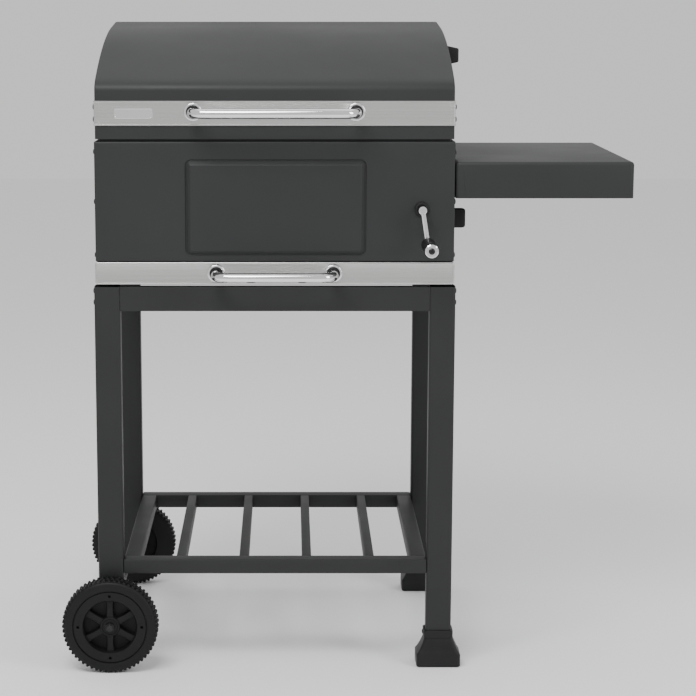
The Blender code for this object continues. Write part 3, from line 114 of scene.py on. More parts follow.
class GrillColours(bpy.types.PropertyGroup):
    """Base colours of the finishes."""

    body: FloatVectorProperty(
        name="Body paint", description="Powder coat of the firebox, lid and shelf",
        default=(0.0230, 0.0240, 0.0240), subtype="COLOR", min=0, max=1,
    )
    legs: FloatVectorProperty(
        name="Leg paint", description="Powder coat of the legs and rack",
        default=(0.0200, 0.0206, 0.0206), subtype="COLOR", min=0, max=1,
    )
    steel: FloatVectorProperty(
        name="Stainless steel", description="Brushed bands", default=(0.57, 0.57, 0.56),
        subtype="COLOR", min=0, max=1,
    )
    chrome: FloatVectorProperty(
        name="Chrome", description="Handles and crank", default=(0.83, 0.83, 0.83),
        subtype="COLOR", min=0, max=1,
    )
    plastic: FloatVectorProperty(
        name="Black plastic", description="Wheels, feet, knobs and grip",
        default=(0.010, 0.010, 0.0105), subtype="COLOR", min=0, max=1,
    )


# ---------------------------------------------------------------- finishes
def group_socket(tree, name, kind, direction, default=None):
    socket = tree.interface.new_socket(name=name, in_out=direction, socket_type=kind)
    if default is not None:
        socket.default_value = default
    return socket


def wear_group():
    """Blotches and fine speckle: a colour multiplier, a roughness offset and a height."""
    name = "Surface variation"
    if name in bpy.data.node_groups:
        return bpy.data.node_groups[name]
    tree = bpy.data.node_groups.new(name, "ShaderNodeTree")
    group_socket(tree, "Blotch scale", "NodeSocketFloat", "INPUT", 6.0)
    group_socket(tree, "Speckle scale", "NodeSocketFloat", "INPUT", 900.0)
    group_socket(tree, "Shade", "NodeSocketFloat", "OUTPUT")
    group_socket(tree, "Speckle", "NodeSocketFloat", "OUTPUT")
    nodes, links = tree.nodes, tree.links
    inputs = nodes.new("NodeGroupInput")
    outputs = nodes.new("NodeGroupOutput")
    coords = nodes.new("ShaderNodeTexCoord")
    blotch = nodes.new("ShaderNodeTexNoise")
    blotch.inputs["Detail"].default_value = 4.0
    speckle = nodes.new("ShaderNodeTexNoise")
    speckle.inputs["Detail"].default_value = 2.0
    for texture, socket in ((blotch, "Blotch scale"), (speckle, "Speckle scale")):
        links.new(coords.outputs["Object"], texture.inputs["Vector"])
        links.new(inputs.outputs[socket], texture.inputs["Scale"])
    links.new(blotch.outputs["Fac"], outputs.inputs["Shade"])
    links.new(speckle.outputs["Fac"], outputs.inputs["Speckle"])
    return tree


def brush_group():
    """Long thin scratches that run along one axis, as a mask."""
    name = "Brushed lines"
    if name in bpy.data.node_groups:
        return bpy.data.node_groups[name]
    tree = bpy.data.node_groups.new(name, "ShaderNodeTree")
    group_socket(tree, "Stretch", "NodeSocketVector", "INPUT", (4.0, 900.0, 1800.0))
    group_socket(tree, "Lines", "NodeSocketFloat", "OUTPUT")
    nodes, links = tree.nodes, tree.links
    inputs = nodes.new("NodeGroupInput")
    outputs = nodes.new("NodeGroupOutput")
    coords = nodes.new("ShaderNodeTexCoord")
    scale = nodes.new("ShaderNodeVectorMath")
    scale.operation = "MULTIPLY"
    lines = nodes.new("ShaderNodeTexNoise")
    lines.inputs["Scale"].default_value = 1.0
    lines.inputs["Detail"].default_value = 3.0
    links.new(coords.outputs["Object"], scale.inputs[0])
    links.new(inputs.outputs["Stretch"], scale.inputs[1])
    links.new(scale.outputs["Vector"], lines.inputs["Vector"])
    links.new(lines.outputs["Fac"], outputs.inputs["Lines"])
    return tree


def blank_finish(name):
    """A material with its Principled shader, ready for nodes."""
    made = bpy.data.materials.new(name)
    made.use_nodes = True
    return made, made.node_tree.nodes, made.node_tree.links, made.node_tree.nodes["Principled BSDF"]


def ramp(nodes, links, source, low, high, spots=(0.3, 0.7)):
    """Maps a 0..1 value onto a range of colours or greys."""
    node = nodes.new("ShaderNodeValToRGB")
    for element, colour, spot in zip(node.color_ramp.elements, (low, high), spots):
        element.color = (*colour, 1.0)
        element.position = spot
    links.new(source, node.inputs["Fac"])
    return node.outputs["Color"]


def grey(value):
    return (value, value, value)


def tint(colour, factor):
    return tuple(min(1.0, part * factor) for part in colour)


def coated(name, colour, roughness, metallic, blotch, speckle, height, spread=0.12, coat=0.0):
    """Painted or moulded surface: soft blotches, a fine grain and uneven gloss."""
    made, nodes, links, shader = blank_finish(name)
    group = nodes.new("ShaderNodeGroup")
    group.node_tree = wear_group()
    group.inputs["Blotch scale"].default_value = blotch
    group.inputs["Speckle scale"].default_value = speckle
    shade, grain = group.outputs["Shade"], group.outputs["Speckle"]
    low, high = tint(colour, 1 - spread), tint(colour, 1 + spread)
    links.new(ramp(nodes, links, shade, low, high), shader.inputs["Base Color"])
    swing = min(0.05, roughness * 0.4)
    gloss = ramp(nodes, links, shade, grey(roughness - swing), grey(roughness + swing))
    links.new(gloss, shader.inputs["Roughness"])
    bump = nodes.new("ShaderNodeBump")
    bump.inputs["Distance"].default_value = height
    bump.inputs["Strength"].default_value = 0.5
    links.new(grain, bump.inputs["Height"])
    links.new(bump.outputs["Normal"], shader.inputs["Normal"])
    shader.inputs["Metallic"].default_value = metallic
    shader.inputs["Specular IOR Level"].default_value = 0.5 if metallic else 0.25
    shader.inputs["Coat Weight"].default_value = coat
    return made


def brushed(name, colour, stretch, roughness=0.30, spread=0.10):
    """Bare steel with brush lines in its colour, gloss and height."""
    made, nodes, links, shader = blank_finish(name)
    group = nodes.new("ShaderNodeGroup")
    group.node_tree = brush_group()
    group.inputs["Stretch"].default_value = stretch
    lines = group.outputs["Lines"]
    low, high = tint(colour, 1 - spread), tint(colour, 1 + spread)
    links.new(ramp(nodes, links, lines, low, high, (0.35, 0.65)), shader.inputs["Base Color"])
    gloss = ramp(nodes, links, lines, grey(roughness - 0.04), grey(roughness + 0.04), (0.35, 0.65))
    links.new(gloss, shader.inputs["Roughness"])
    bump = nodes.new("ShaderNodeBump")
    bump.inputs["Distance"].default_value = 0.00001
    bump.inputs["Strength"].default_value = 0.25
    links.new(lines, bump.inputs["Height"])
    links.new(bump.outputs["Normal"], shader.inputs["Normal"])
    shader.inputs["Metallic"].default_value = 1.0
    return made


BLACK_ENAMEL = (0.018, 0.018, 0.019)
GRATE_ENAMEL = (0.022, 0.021, 0.020)


def make_finishes(colours):
    """Every finish of the cart, by name."""
    return {
        "body_paint": coated("Anthracite powder coat", colours.body, 0.50, 0.0, 5.0, 1400.0, 0.00012, 0.05),
        "frame_paint": coated("Leg powder coat", colours.legs, 0.52, 0.0, 9.0, 1500.0, 0.00012, 0.07),
        "stainless": brushed("Brushed stainless", colours.steel, (2.0, 900.0, 2200.0), 0.30, 0.035),
        "chrome": coated("Polished chrome", colours.chrome, 0.06, 1.0, 14.0, 500.0, 0.000002, 0.02),
        "zinc_steel": coated("Zinc plate", (0.50, 0.50, 0.49), 0.38, 1.0, 22.0, 260.0, 0.00003, 0.14),
        "black_enamel": coated("Black enamel", BLACK_ENAMEL, 0.26, 0.0, 8.0, 420.0, 0.00010, 0.3, 0.5),
        "grate_enamel": coated("Grate enamel", GRATE_ENAMEL, 0.34, 0.2, 40.0, 600.0, 0.00010, 0.3, 0.3),
        "black_plastic": coated("Moulded plastic", colours.plastic, 0.46, 0.0, 18.0, 1100.0, 0.00010, 0.2),
        "tyre": coated("Wheel plastic", tint(colours.plastic, 0.45), 0.54, 0.0, 30.0, 1300.0, 0.00012, 0.25),
        "screw": coated("Blackened screws", (0.030, 0.030, 0.031), 0.32, 0.8, 60.0, 900.0, 0.00002, 0.2),
    }


# ---------------------------------------------------------------- shape tools
FINISHES = {}


def dress(piece, body, finish, replaced=()):
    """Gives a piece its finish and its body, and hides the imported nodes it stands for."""
    piece.data.materials.clear()
    piece.data.materials.append(FINISHES[finish])
    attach(piece, body)
    if replaced:
        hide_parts(*replaced)
    return piece


def piece_name(name):
    """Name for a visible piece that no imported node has."""
    made = name.replace(" ", "_")
    return made + "_shown" if made in frame["nodes"] else made


def mesh_piece(name, bm, angle=SHADE_ANGLE):
    """Turns a bmesh into an object at the origin, closed and facing outwards."""
    name = piece_name(name)
    bmesh.ops.remove_doubles(bm, verts=bm.verts, dist=1e-6)
    bmesh.ops.recalc_face_normals(bm, faces=bm.faces)
    mesh = bpy.data.meshes.new(name)
    bm.to_mesh(mesh)
    bm.free()
    mesh.shade_smooth()
    mesh.set_sharp_from_angle(angle=angle)
    piece = bpy.data.objects.new(name, mesh)
    bpy.context.scene.collection.objects.link(piece)
    return piece


def loft(bm, rings, caps=True):
    """Skins a row of rings that hold the same number of points."""
    loops = [[bm.verts.new(point) for point in ring] for ring in rings]
    for below, above in zip(loops, loops[1:]):
        for k in range(len(below)):
            bm.faces.new((below[k - 1], below[k], above[k], above[k - 1]))
    if caps:
        bm.faces.new(loops[0])
        bm.faces.new(loops[-1])
    return loops


def loft_closed(bm, rings):
    """Skins rings and joins the last one back to the first."""
    loops = loft(bm, rings, caps=False)
    below, above = loops[-1], loops[0]
    for k in range(len(below)):
        bm.faces.new((below[k - 1], below[k], above[k], above[k - 1]))


def rounded(low, high, radius, steps=4):
    """Rectangle with round corners, as (a, b) points, anticlockwise."""
    corners = (
        (high[0] - radius, low[1] + radius, -pi / 2),
        (high[0] - radius, high[1] - radius, 0.0),
        (low[0] + radius, high[1] - radius, pi / 2),
        (low[0] + radius, low[1] + radius, pi),
    )
    return [
        (x + radius * cos(start + k / steps * pi / 2), y + radius * sin(start + k / steps * pi / 2))
        for x, y, start in corners
        for k in range(steps + 1)
    ]


def arc(start, end, steps):
    """Angles from start to end, both included."""
    return [start + (end - start) * k / steps for k in range(steps + 1)]


def axis_point(axis, a, b, along):
    """A point from two cross coordinates and a place along x, y or z."""
    return {"x": (along, a, b), "y": (a, along, b), "z": (a, b, along)}[axis]


def circle(axis, centre, radius, along, sides):
    """Ring of points around an axis; centre holds the two cross coordinates."""
    a, b = centre
    angles = [tau * k / sides for k in range(sides)]
    return [axis_point(axis, a + radius * cos(turn), b + radius * sin(turn), along) for turn in angles]


def turned(bm, profile, centre, axis="y", sides=48):
    """Closed solid of revolution from (radius, along) points."""
    loft_closed(bm, [circle(axis, centre, radius, along, sides) for radius, along in profile])


def knob_turned(bm, profile, centre, axis="y", sides=48):
    """Solid of revolution that is closed by a flat face at both ends."""
    loft(bm, [circle(axis, centre, radius, along, sides) for radius, along in profile])


def tube(bm, path, radius, sides):
    """Round tube along a line of points, closed by a flat face at both ends."""
    points = [Vector(point) for point in path]
    ways = []
    for k, point in enumerate(points):
        before, after = points[max(k - 1, 0)], points[min(k + 1, len(points) - 1)]
        ways.append((after - before).normalized())
    side = ways[0].orthogonal().normalized()
    rings = []
    for point, way in zip(points, ways):
        side = (side - way * side.dot(way)).normalized()
        up = way.cross(side)
        rings.append([
            point + (side * cos(tau * k / sides) + up * sin(tau * k / sides)) * radius for k in range(sides)
        ])
    loft(bm, rings)


def smooth_step(share):
    return share * share * (3 - 2 * share)


def pan_rings(low, high, depth, corner, bend, sheet, rim=0.0, stamp=None, steps=5):
    """Skin of a pressed pan as rings of (a, b, height): mouth at height 0, floor at height depth.

    stamp is (low, high, corner, slope, rise, groove) for a field pressed out of the floor.
    """
    def ring(inset, height, area=None, radius=None):
        first, last = area or (low, high)
        start = (first[0] + inset, first[1] + inset)
        end = (last[0] - inset, last[1] - inset)
        turn = max((corner if radius is None else radius) - inset, 0.0006)
        return [(a, b, height) for a, b in rounded(start, end, turn, 5)]

    outside, inside = [], []
    if stamp:
        first, last, turn, slope, rise, groove = stamp
        for step in range(17):
            share = 1 - step / 16
            inset = slope * share
            height = rise * smooth_step(max(0.0, (share - 0.25) / 0.75))
            height -= groove * sin(min(share / 0.4, 1.0) * pi)
            outside.append(ring(inset, depth + height, (first, last), turn))
            inside.append(ring(inset, depth + height - sheet, (first, last), turn))
    for angle in arc(pi / 2, 0.0, steps):
        outside.append(ring(bend * (1 - cos(angle)), depth - bend * (1 - sin(angle))))
    hollow = max(bend - sheet, 0.0004)
    for angle in arc(pi / 2, 0.0, steps):
        inset = sheet + hollow * (1 - cos(angle))
        inside.append(ring(inset, depth - sheet - hollow * (1 - sin(angle))))
    outside.append(ring(0.0, sheet / 2))
    if rim:
        edge = [ring(sheet * 0.3, 0.0), ring(rim, 0.0), ring(rim, sheet), ring(sheet * 1.4, sheet)]
    else:
        edge = [ring(sheet / 2, 0.0)]
    inside.append(ring(sheet, sheet * (1.4 if rim else 0.5)))
    return outside + edge + inside[::-1]


def facing(rings, place):
    """Moves (a, b, height) rings into the row frame."""
    return [[place(*point) for point in ring] for ring in rings]


def strip_along(bm, section, path, outwards):
    """Sweeps an upright closed section, given as (out, z), along a level path."""
    rings = []
    for (x, y), (way_x, way_y) in zip(path, outwards):
        rings.append([(x + way_x * out, y + way_y * out, z) for out, z in section])
    loft(bm, rings)


def block(bm, low, high, edge=0.0008):
    """Box with small rounded edges all round."""
    rings = []
    for inset, height in ((edge, 0.0), (edge * 0.3, edge * 0.3), (0.0, edge)):
        rings.append((inset, low[2] + height))
    for inset, height in ((0.0, edge), (edge * 0.3, edge * 0.3), (edge, 0.0)):
        rings.append((inset, high[2] - height))
    loft(bm, [
        [
            (x, y, z)
            for x, y in rounded((low[0] + inset, low[1] + inset), (high[0] - inset, high[1] - inset), edge, 2)
        ]
        for inset, z in rings
    ])


def cut(piece, cutters):
    """Takes closed shapes, each a bmesh, out of a piece."""
    for bm in cutters:
        tool = mesh_piece("cutter", bm)
        work = piece.modifiers.new("cut", "BOOLEAN")
        work.object = tool
        work.solver = "EXACT"
        bpy.context.view_layer.update()
        graph = bpy.context.evaluated_depsgraph_get()
        mesh = bpy.data.meshes.new_from_object(piece.evaluated_get(graph))
        piece.modifiers.clear()
        piece.data = mesh
        bpy.data.objects.remove(tool, do_unlink=True)
    piece.data.shade_smooth()
    piece.data.set_sharp_from_angle(angle=SHADE_ANGLE)
    return piece


def box_shape(low, high):
    """Plain closed box as a bmesh, for cutting."""
    bm = bmesh.new()
    loft(bm, [
        [(low[0], low[1], z), (high[0], low[1], z), (high[0], high[1], z), (low[0], high[1], z)]
        for z in (low[2], high[2])
    ])
    return bm


def softened(node, name, body, finish, width=0.0004, segments=2):
    """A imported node's own shape with its edges rounded."""
    bm = bmesh.new()
    bm.from_mesh(frame["nodes"][node].data)
    bmesh.ops.remove_doubles(bm, verts=bm.verts, dist=2e-6)
    bmesh.ops.dissolve_limit(bm, angle_limit=radians(0.6), verts=bm.verts, edges=bm.edges)
    piece = mesh_piece(name, bm)
    edge = piece.modifiers.new("rounded edges", "BEVEL")
    edge.width = width
    edge.segments = segments
    edge.limit_method = "ANGLE"
    edge.angle_limit = radians(35)
    return dress(piece, body, finish, (node,))


# ---------------------------------------------------------------- repeated parts
def parts_on_points():
    """Geometry nodes that put one part on every point, facing that point's own way."""
    name = "Parts on points"
    if name in bpy.data.node_groups:
        return bpy.data.node_groups[name]
    tree = bpy.data.node_groups.new(name, "GeometryNodeTree")
    group_socket(tree, "Points", "NodeSocketGeometry", "INPUT")
    group_socket(tree, "Part", "NodeSocketObject", "INPUT")
    group_socket(tree, "Size", "NodeSocketFloat", "INPUT", 1.0)
    group_socket(tree, "Finish", "NodeSocketMaterial", "INPUT")
    group_socket(tree, "Parts", "NodeSocketGeometry", "OUTPUT")
    nodes, links = tree.nodes, tree.links
    inputs = nodes.new("NodeGroupInput")
    outputs = nodes.new("NodeGroupOutput")
    part = nodes.new("GeometryNodeObjectInfo")
    place = nodes.new("GeometryNodeInstanceOnPoints")
    realize = nodes.new("GeometryNodeRealizeInstances")
    paint = nodes.new("GeometryNodeSetMaterial")
    turns = []
    for attribute, axis, pivot in (("way", "Z", "AUTO"), ("along", "Y", "Z")):
        read = nodes.new("GeometryNodeInputNamedAttribute")
        read.data_type = "FLOAT_VECTOR"
        read.inputs["Name"].default_value = attribute
        align = nodes.new("FunctionNodeAlignRotationToVector")
        align.axis = axis
        align.pivot_axis = pivot
        links.new(read.outputs["Attribute"], align.inputs["Vector"])
        turns.append(align)
    links.new(turns[0].outputs["Rotation"], turns[1].inputs["Rotation"])
    links.new(inputs.outputs["Points"], place.inputs["Points"])
    links.new(inputs.outputs["Part"], part.inputs["Object"])
    links.new(part.outputs["Geometry"], place.inputs["Instance"])
    links.new(turns[1].outputs["Rotation"], place.inputs["Rotation"])
    links.new(inputs.outputs["Size"], place.inputs["Scale"])
    links.new(place.outputs["Instances"], realize.inputs["Geometry"])
    links.new(realize.outputs["Geometry"], paint.inputs["Geometry"])
    links.new(inputs.outputs["Finish"], paint.inputs["Material"])
    links.new(paint.outputs["Geometry"], outputs.inputs["Parts"])
    return tree


def repeat(name, part, spots, finish, size=1.0):
    """One mesh of equal parts; each spot is (place, facing way, direction of its own y)."""
    name = piece_name(name)
    cloud = bpy.data.meshes.new(name + " points")
    cloud.from_pydata([spot[0] for spot in spots], [], [])
    for index, attribute in ((1, "way"), (2, "along")):
        data = cloud.attributes.new(attribute, "FLOAT_VECTOR", "POINT").data
        for item, spot in zip(data, spots):
            item.vector = spot[index]
    holder = bpy.data.objects.new(name + " points", cloud)
    bpy.context.scene.collection.objects.link(holder)
    tree = parts_on_points()
    nodes = holder.modifiers.new("parts", "NODES")
    nodes.node_group = tree
    wanted = {"Part": part, "Size": size, "Finish": FINISHES[finish]}
    for item in tree.interface.items_tree:
        if item.in_out == "INPUT" and item.name in wanted:
            nodes[item.identifier] = wanted[item.name]
    bpy.context.view_layer.update()
    graph = bpy.context.evaluated_depsgraph_get()
    mesh = bpy.data.meshes.new_from_object(holder.evaluated_get(graph))
    mesh.name = name
    for attribute in ("way", "along"):
        if attribute in mesh.attributes:
            mesh.attributes.remove(mesh.attributes[attribute])
    piece = bpy.data.objects.new(name, mesh)
    bpy.context.scene.collection.objects.link(piece)
    bpy.data.objects.remove(holder, do_unlink=True)
    bpy.data.objects.remove(part, do_unlink=True)
    mesh.shade_smooth()
    mesh.set_sharp_from_angle(angle=SHADE_ANGLE)
    return piece


def screw_part(radius):
    """Low dome with a cross recess, standing on z = 0."""
    bm = bmesh.new()
    height = radius * 0.55
    rings = [(radius, -height * 0.3), (radius, height * 0.25)]
    for angle in arc(radians(20), radians(75), 4):
        rings.append((radius * cos(angle) ** 0.8, height * (0.25 + 0.75 * sin(angle))))
    knob_turned(bm, rings, (0.0, 0.0), "z", 20)
    dome = mesh_piece("screw dome", bm)
    for turn in (0.0, pi / 2):
        cross = bmesh.new()
        bmesh.ops.create_cube(cross, size=1.0)
        bmesh.ops.scale(cross, verts=cross.verts, vec=(radius * 1.1, radius * 0.2, height))
        bmesh.ops.rotate(cross, verts=cross.verts, matrix=Matrix.Rotation(turn, 3, "Z"))
        bmesh.ops.translate(cross, verts=cross.verts, vec=(0, 0, height * 1.15))
        slot = mesh_piece("screw slot", cross)
        cut = dome.modifiers.new("slot", "BOOLEAN")
        cut.object = slot
        cut.solver = "EXACT"
        bpy.context.view_layer.update()
        graph = bpy.context.evaluated_depsgraph_get()
        mesh = bpy.data.meshes.new_from_object(dome.evaluated_get(graph))
        dome.modifiers.clear()
        dome.data = mesh
        bpy.data.objects.remove(slot, do_unlink=True)
    return dome


def screws(name, body, spots, finish="screw", radius=None):
    """Screw heads at (place, facing way) spots, riding on a body."""
    radius = radius or bpy.context.scene.grill_sizes.screw_radius
    placed = []
    for index, (spot, way) in enumerate(spots):
        way = Vector(way)
        along = Matrix.Rotation(index * 0.9, 3, way) @ way.orthogonal()
        placed.append((Vector(spot), way, along))
    piece = repeat(name, screw_part(radius), placed, finish)
    return dress(piece, body, finish)


# ---------------------------------------------------------------- lid
LID_SHOULDER_Z = 0.9745
LID_CREST_BACK = 0.0550
LID_ARCH = 0.0890
LID_END_SLOPE = radians(5.0)
LID_NOSE = 0.0200
LID_REAR_TURN = 0.0300
LID_FOLD, LID_FOLD_LIFT, LID_FOLD_END = 0.0111, 0.0033, 0.016
VENT_SLOT_START, VENT_SLOT_PITCH, VENT_SLOT_HALF = 0.053, 0.028, 0.006
VENT_SLOT_LOW, VENT_SLOT_HIGH = 0.963, 0.993


def lid_outline(low, high):
    """Side outline of the lid as (y, z, inward y, inward z), front edge first."""
    front, rear, crest = low.y, high.y, high.z
    crest_y = rear - LID_CREST_BACK
    run = crest_y - front
    radius = (run * run + LID_ARCH * LID_ARCH) / (2 * LID_ARCH)
    middle_z = LID_SHOULDER_Z + LID_ARCH - radius
    top = []
    for angle in arc(atan2(run, radius - LID_ARCH), LID_END_SLOPE, 44):
        y = crest_y - radius * sin(angle)
        if y > front + LID_NOSE * 0.75:
            top.append((y, middle_z + radius * cos(angle)))
    start_y, start_z = top[-1]
    for share in arc(0.0, 1.0, 4)[1:]:
        top.append((start_y + (crest_y - start_y) * share, start_z + (crest - start_z) * share))
    first_y, first_z = top[0]
    corner = first_z - (first_y - front) * 0.42
    start = corner - LID_NOSE * 0.6
    points = [(front, low.z), (front, (low.z + start) / 2)]
    for step in range(8):
        share = step / 8
        keep = 1 - share
        points.append((
            front * (keep * keep + 2 * keep * share) + share * share * first_y,
            keep * keep * start + 2 * keep * share * corner + share * share * first_z,
        ))
    points += top
    for angle in arc(pi / 2, 0.0, 12):
        points.append((
            rear - LID_REAR_TURN * (1 - cos(angle)),
            crest - LID_REAR_TURN * (1 - sin(angle)),
        ))
    points.append((rear, low.z))
    outline = []
    for k, (y, z) in enumerate(points):
        before, after = points[max(k - 1, 0)], points[min(k + 1, len(points) - 1)]
        way = Vector((after[0] - before[0], after[1] - before[1])).normalized()
        outline.append((y, z, way.y, -way.x))
    return outline


def build_lid(sizes):
    """Lid skin with rolled ends, its two end plates and the lower folds."""
    low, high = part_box("lid_end_left")
    left_x, right_x = low.x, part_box("lid_end_right")[1].x
    outline = lid_outline(low, high)
    bend = sizes.bend_radius
    section = []
    for angle in arc(0.0, pi / 2, 5):
        section.append((left_x + bend * (1 - cos(angle)), bend * (1 - sin(angle))))
    for angle in arc(pi / 2, 0.0, 5):
        section.append((right_x - bend * (1 - cos(angle)), bend * (1 - sin(angle))))
    hollow = bend - SHEET
    for angle in arc(0.0, pi / 2, 5):
        section.append((right_x - SHEET - hollow * (1 - cos(angle)), SHEET + hollow * (1 - sin(angle))))
    for angle in arc(pi / 2, 0.0, 5):
        section.append((left_x + SHEET + hollow * (1 - cos(angle)), SHEET + hollow * (1 - sin(angle))))
    bm = bmesh.new()
    loft(bm, [
        [(x, y + way_y * inset, z + way_z * inset) for x, inset in section] for y, z, way_y, way_z in outline
    ])
    skin = mesh_piece("lid skin", bm, radians(40))
    dress(skin, "lid", "body_paint", ("lid_shell",))
    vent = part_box("lid_vent_slider")
    for name, outer, side in (("left", left_x, -1), ("right", right_x, 1)):
        inset = bend + 0.0002
        bm = bmesh.new()
        edge = low.z + 0.0004
        plate = [(y + way_y * inset, max(z + way_z * inset, edge)) for y, z, way_y, way_z in outline]
        loft(bm, [[(x, y, z) for y, z in plate] for x in (outer, outer - side * SHEET)])
        near_x, far_x = sorted((outer - side * LID_FOLD, outer - side * SHEET * 0.5))
        fold_z = low.z + LID_FOLD_LIFT
        start = (near_x, low.y + LID_FOLD_END, fold_z)
        block(bm, start, (far_x, high.y - LID_FOLD_END, fold_z + SHEET), 0.0003)
        end = mesh_piece("lid end " + name, bm)
        if side > 0:
            slots = []
            for k in (-1, 0, 1):
                slot_y = vent[0].y + VENT_SLOT_START + k * VENT_SLOT_PITCH
                slots.append(box_shape(
                    (outer - 0.004, slot_y - VENT_SLOT_HALF, VENT_SLOT_LOW),
                    (outer + 0.004, slot_y + VENT_SLOT_HALF, VENT_SLOT_HIGH),
                ))
            cut(end, slots)
        dress(end, "lid", "body_paint", ("lid_end_" + name,))


def hemmed_section(low_z, high_z, sheet, hem, swell):
    """Section of a steel band whose two edges are folded over, as (out, z)."""
    edge = 0.0004
    outer = [
        (swell - edge, low_z), (swell, low_z + edge),
        (swell, low_z + hem - edge), (swell - edge, low_z + hem),
        (0.0, low_z + hem + 0.0003), (0.0, high_z - hem - 0.0003),
        (swell - edge, high_z - hem), (swell, high_z - hem + edge),
        (swell, high_z - edge), (swell - edge, high_z),
    ]
    return outer + [(-sheet, high_z), (-sheet, low_z)]


def round_the_front(left_x, right_x, front, back, radius, edge):
    """Level path along the left return, the front and the right return, with outward ways."""
    path, ways = [(left_x, back), (left_x, front + radius)], [(-1.0, 0.0), (-1.0, 0.0)]
    for angle in arc(pi, 1.5 * pi, 6)[1:]:
        path.append((left_x + radius + radius * cos(angle), front + radius + radius * sin(angle)))
        ways.append((cos(angle), sin(angle)))
    for share in arc(edge, 1 - edge, 1):
        path.append((left_x + radius + (right_x - left_x - 2 * radius) * share, front))
        ways.append((0.0, -1.0))
    for angle in arc(1.5 * pi, 2 * pi, 6):
        path.append((right_x - radius + radius * cos(angle), front + radius + radius * sin(angle)))
        ways.append((cos(angle), sin(angle)))
    return path + [(right_x, back)], ways + [(1.0, 0.0)]


def build_band():
    """Stainless band round the lid's front, its hems, end folds, plate and screws."""
    low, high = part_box("lid_band")
    swell = 0.0006
    path, ways = round_the_front(low.x, high.x, low.y, high.y, 0.0026, 0.02)
    bm = bmesh.new()
    strip_along(bm, hemmed_section(low.z, high.z, 0.0010, 0.0024, swell), path, ways)
    for x in (low.x + 0.0085, high.x - 0.0085):
        start = (x - 0.0006, low.y - 0.0005, low.z + 0.0028)
        block(bm, start, (x + 0.0006, low.y + 0.0004, high.z - 0.0028), 0.0003)
    band = mesh_piece("lid band", bm)
    dress(band, "lid", "stainless", ("lid_band",))
    middle = (low.z + high.z) / 2
    bm = bmesh.new()
    plate_x = low.x + 0.0640
    rings = []
    for inset, out in ((0.0, -0.0002), (0.0, 0.0008), (0.0006, 0.0013), (0.0016, 0.0013), (0.0020, 0.0010)):
        start = (plate_x - 0.031 + inset, middle - 0.0085 + inset)
        end = (plate_x + 0.031 - inset, middle + 0.0085 - inset)
        rings.append([(x, low.y - out, z) for x, z in rounded(start, end, max(0.004 - inset, 0.001), 5)])
    loft(bm, rings)
    dress(mesh_piece("lid plate", bm), "lid", "chrome")
    spots = []
    for side_x, way in ((low.x, -1.0), (high.x, 1.0)):
        for z in (low.z + 0.010, high.z - 0.010):
            spots.append(((side_x, low.y + 0.0115, z), (way, 0.0, 0.0)))
    screws("band screws", "lid", spots)


def bow_handle(prefix, body, sizes):
    """Bent chrome tube, the grooved ring at each of its feet, and a black ring of painted shade in each
    ring's recess.
    """
    low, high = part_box(prefix + "_handle")
    radius = (high.z - low.z) / 2
    left, right, tip = low.x + radius, high.x - radius, low.y + radius
    middle, bend = (low.z + high.z) / 2, 0.024
    path = [(left, high.y + 0.0008, middle)]
    path += [(left + bend * (1 - cos(a)), tip + bend * (1 - sin(a)), middle) for a in arc(0.0, pi / 2, 14)]
    path += [(right - bend * (1 - cos(a)), tip + bend * (1 - sin(a)), middle) for a in arc(pi / 2, 0.0, 14)]
    path.append((right, high.y + 0.0008, middle))
    bm = bmesh.new()
    tube(bm, path, radius, sizes.tube_sides)
    dress(mesh_piece(prefix + " handle", bm, radians(40)), body, "chrome", (prefix + "_handle",))
    for name, x in (("left", left), ("right", right)):
        node = prefix + "_rosette_" + name
        first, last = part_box(node)
        outer, face, back = (last.x - first.x) / 2, first.y, last.y
        bm = bmesh.new()
        profile = [(0.0088, back), (outer - 0.0006, back), (outer, back - 0.0008)]
        for angle in arc(0.0, pi / 2, 5):
            profile.append((outer - 0.0022 + 0.0022 * cos(angle), face + 0.0022 - 0.0022 * sin(angle)))
        profile += [
            (radius + 0.0034, face), (radius + 0.0028, face + 0.0005),
            (radius + 0.0024, face + 0.0022), (radius + 0.0008, face + 0.0024),
        ]
        turned(bm, profile, (x, middle), "y", 48)
        dress(mesh_piece(prefix + " rosette " + name, bm, radians(28)), body, "chrome", (node,))
        # Painted shade: a black plastic ring fills the rosette's inner recess and stands in for the shade
        # that falls there.
        bm = bmesh.new()
        painted_shade_ring = [(radius + 0.0002, face + 0.0026), (radius + 0.0031, face + 0.0026)]
        painted_shade_ring += [(radius + 0.0031, face + 0.0007), (radius + 0.0018, face - 0.0002)]
        painted_shade_ring += [(radius + 0.0002, face + 0.0002)]
        turned(bm, painted_shade_ring, (x, middle), "y", 40)
        dress(mesh_piece(prefix + " seal " + name, bm), body, "black_plastic")


def build_handles(sizes):
    """Both chrome bow handles with their rosettes."""
    bow_handle("lid", "lid", sizes)
    bow_handle("drawer", "drawer", sizes)


# ---------------------------------------------------------------- firebox
PANEL_FRONT = -0.1982
PANEL_DEPTH = 0.018
FIELD_LOW, FIELD_HIGH = (-0.2594, 0.6960), (0.0350, 0.8530)
SPINDLE_HOLE = 0.0058
LIP_RISE = 0.0070


def rim_lip(bm, low, high, top, inset=0.0070, rise=LIP_RISE):
    """Folded lip round the firebox mouth that stands up inside the lid, open rectangle by rectangle."""
    section = [(0.0, top - SHEET), (0.0, top), (inset - SHEET, top), (inset - SHEET, top + rise)]
    section += [(inset, top + rise), (inset, top - SHEET)]
    rings = []
    for depth, z in section:
        start, end = (low[0] + depth, low[1] + depth), (high[0] - depth, high[1] - depth)
        rings.append([(x, y, z) for x, y in rounded(start, end, max(0.006 - depth * 0.5, 0.002), 4)])
    loft_closed(bm, rings)


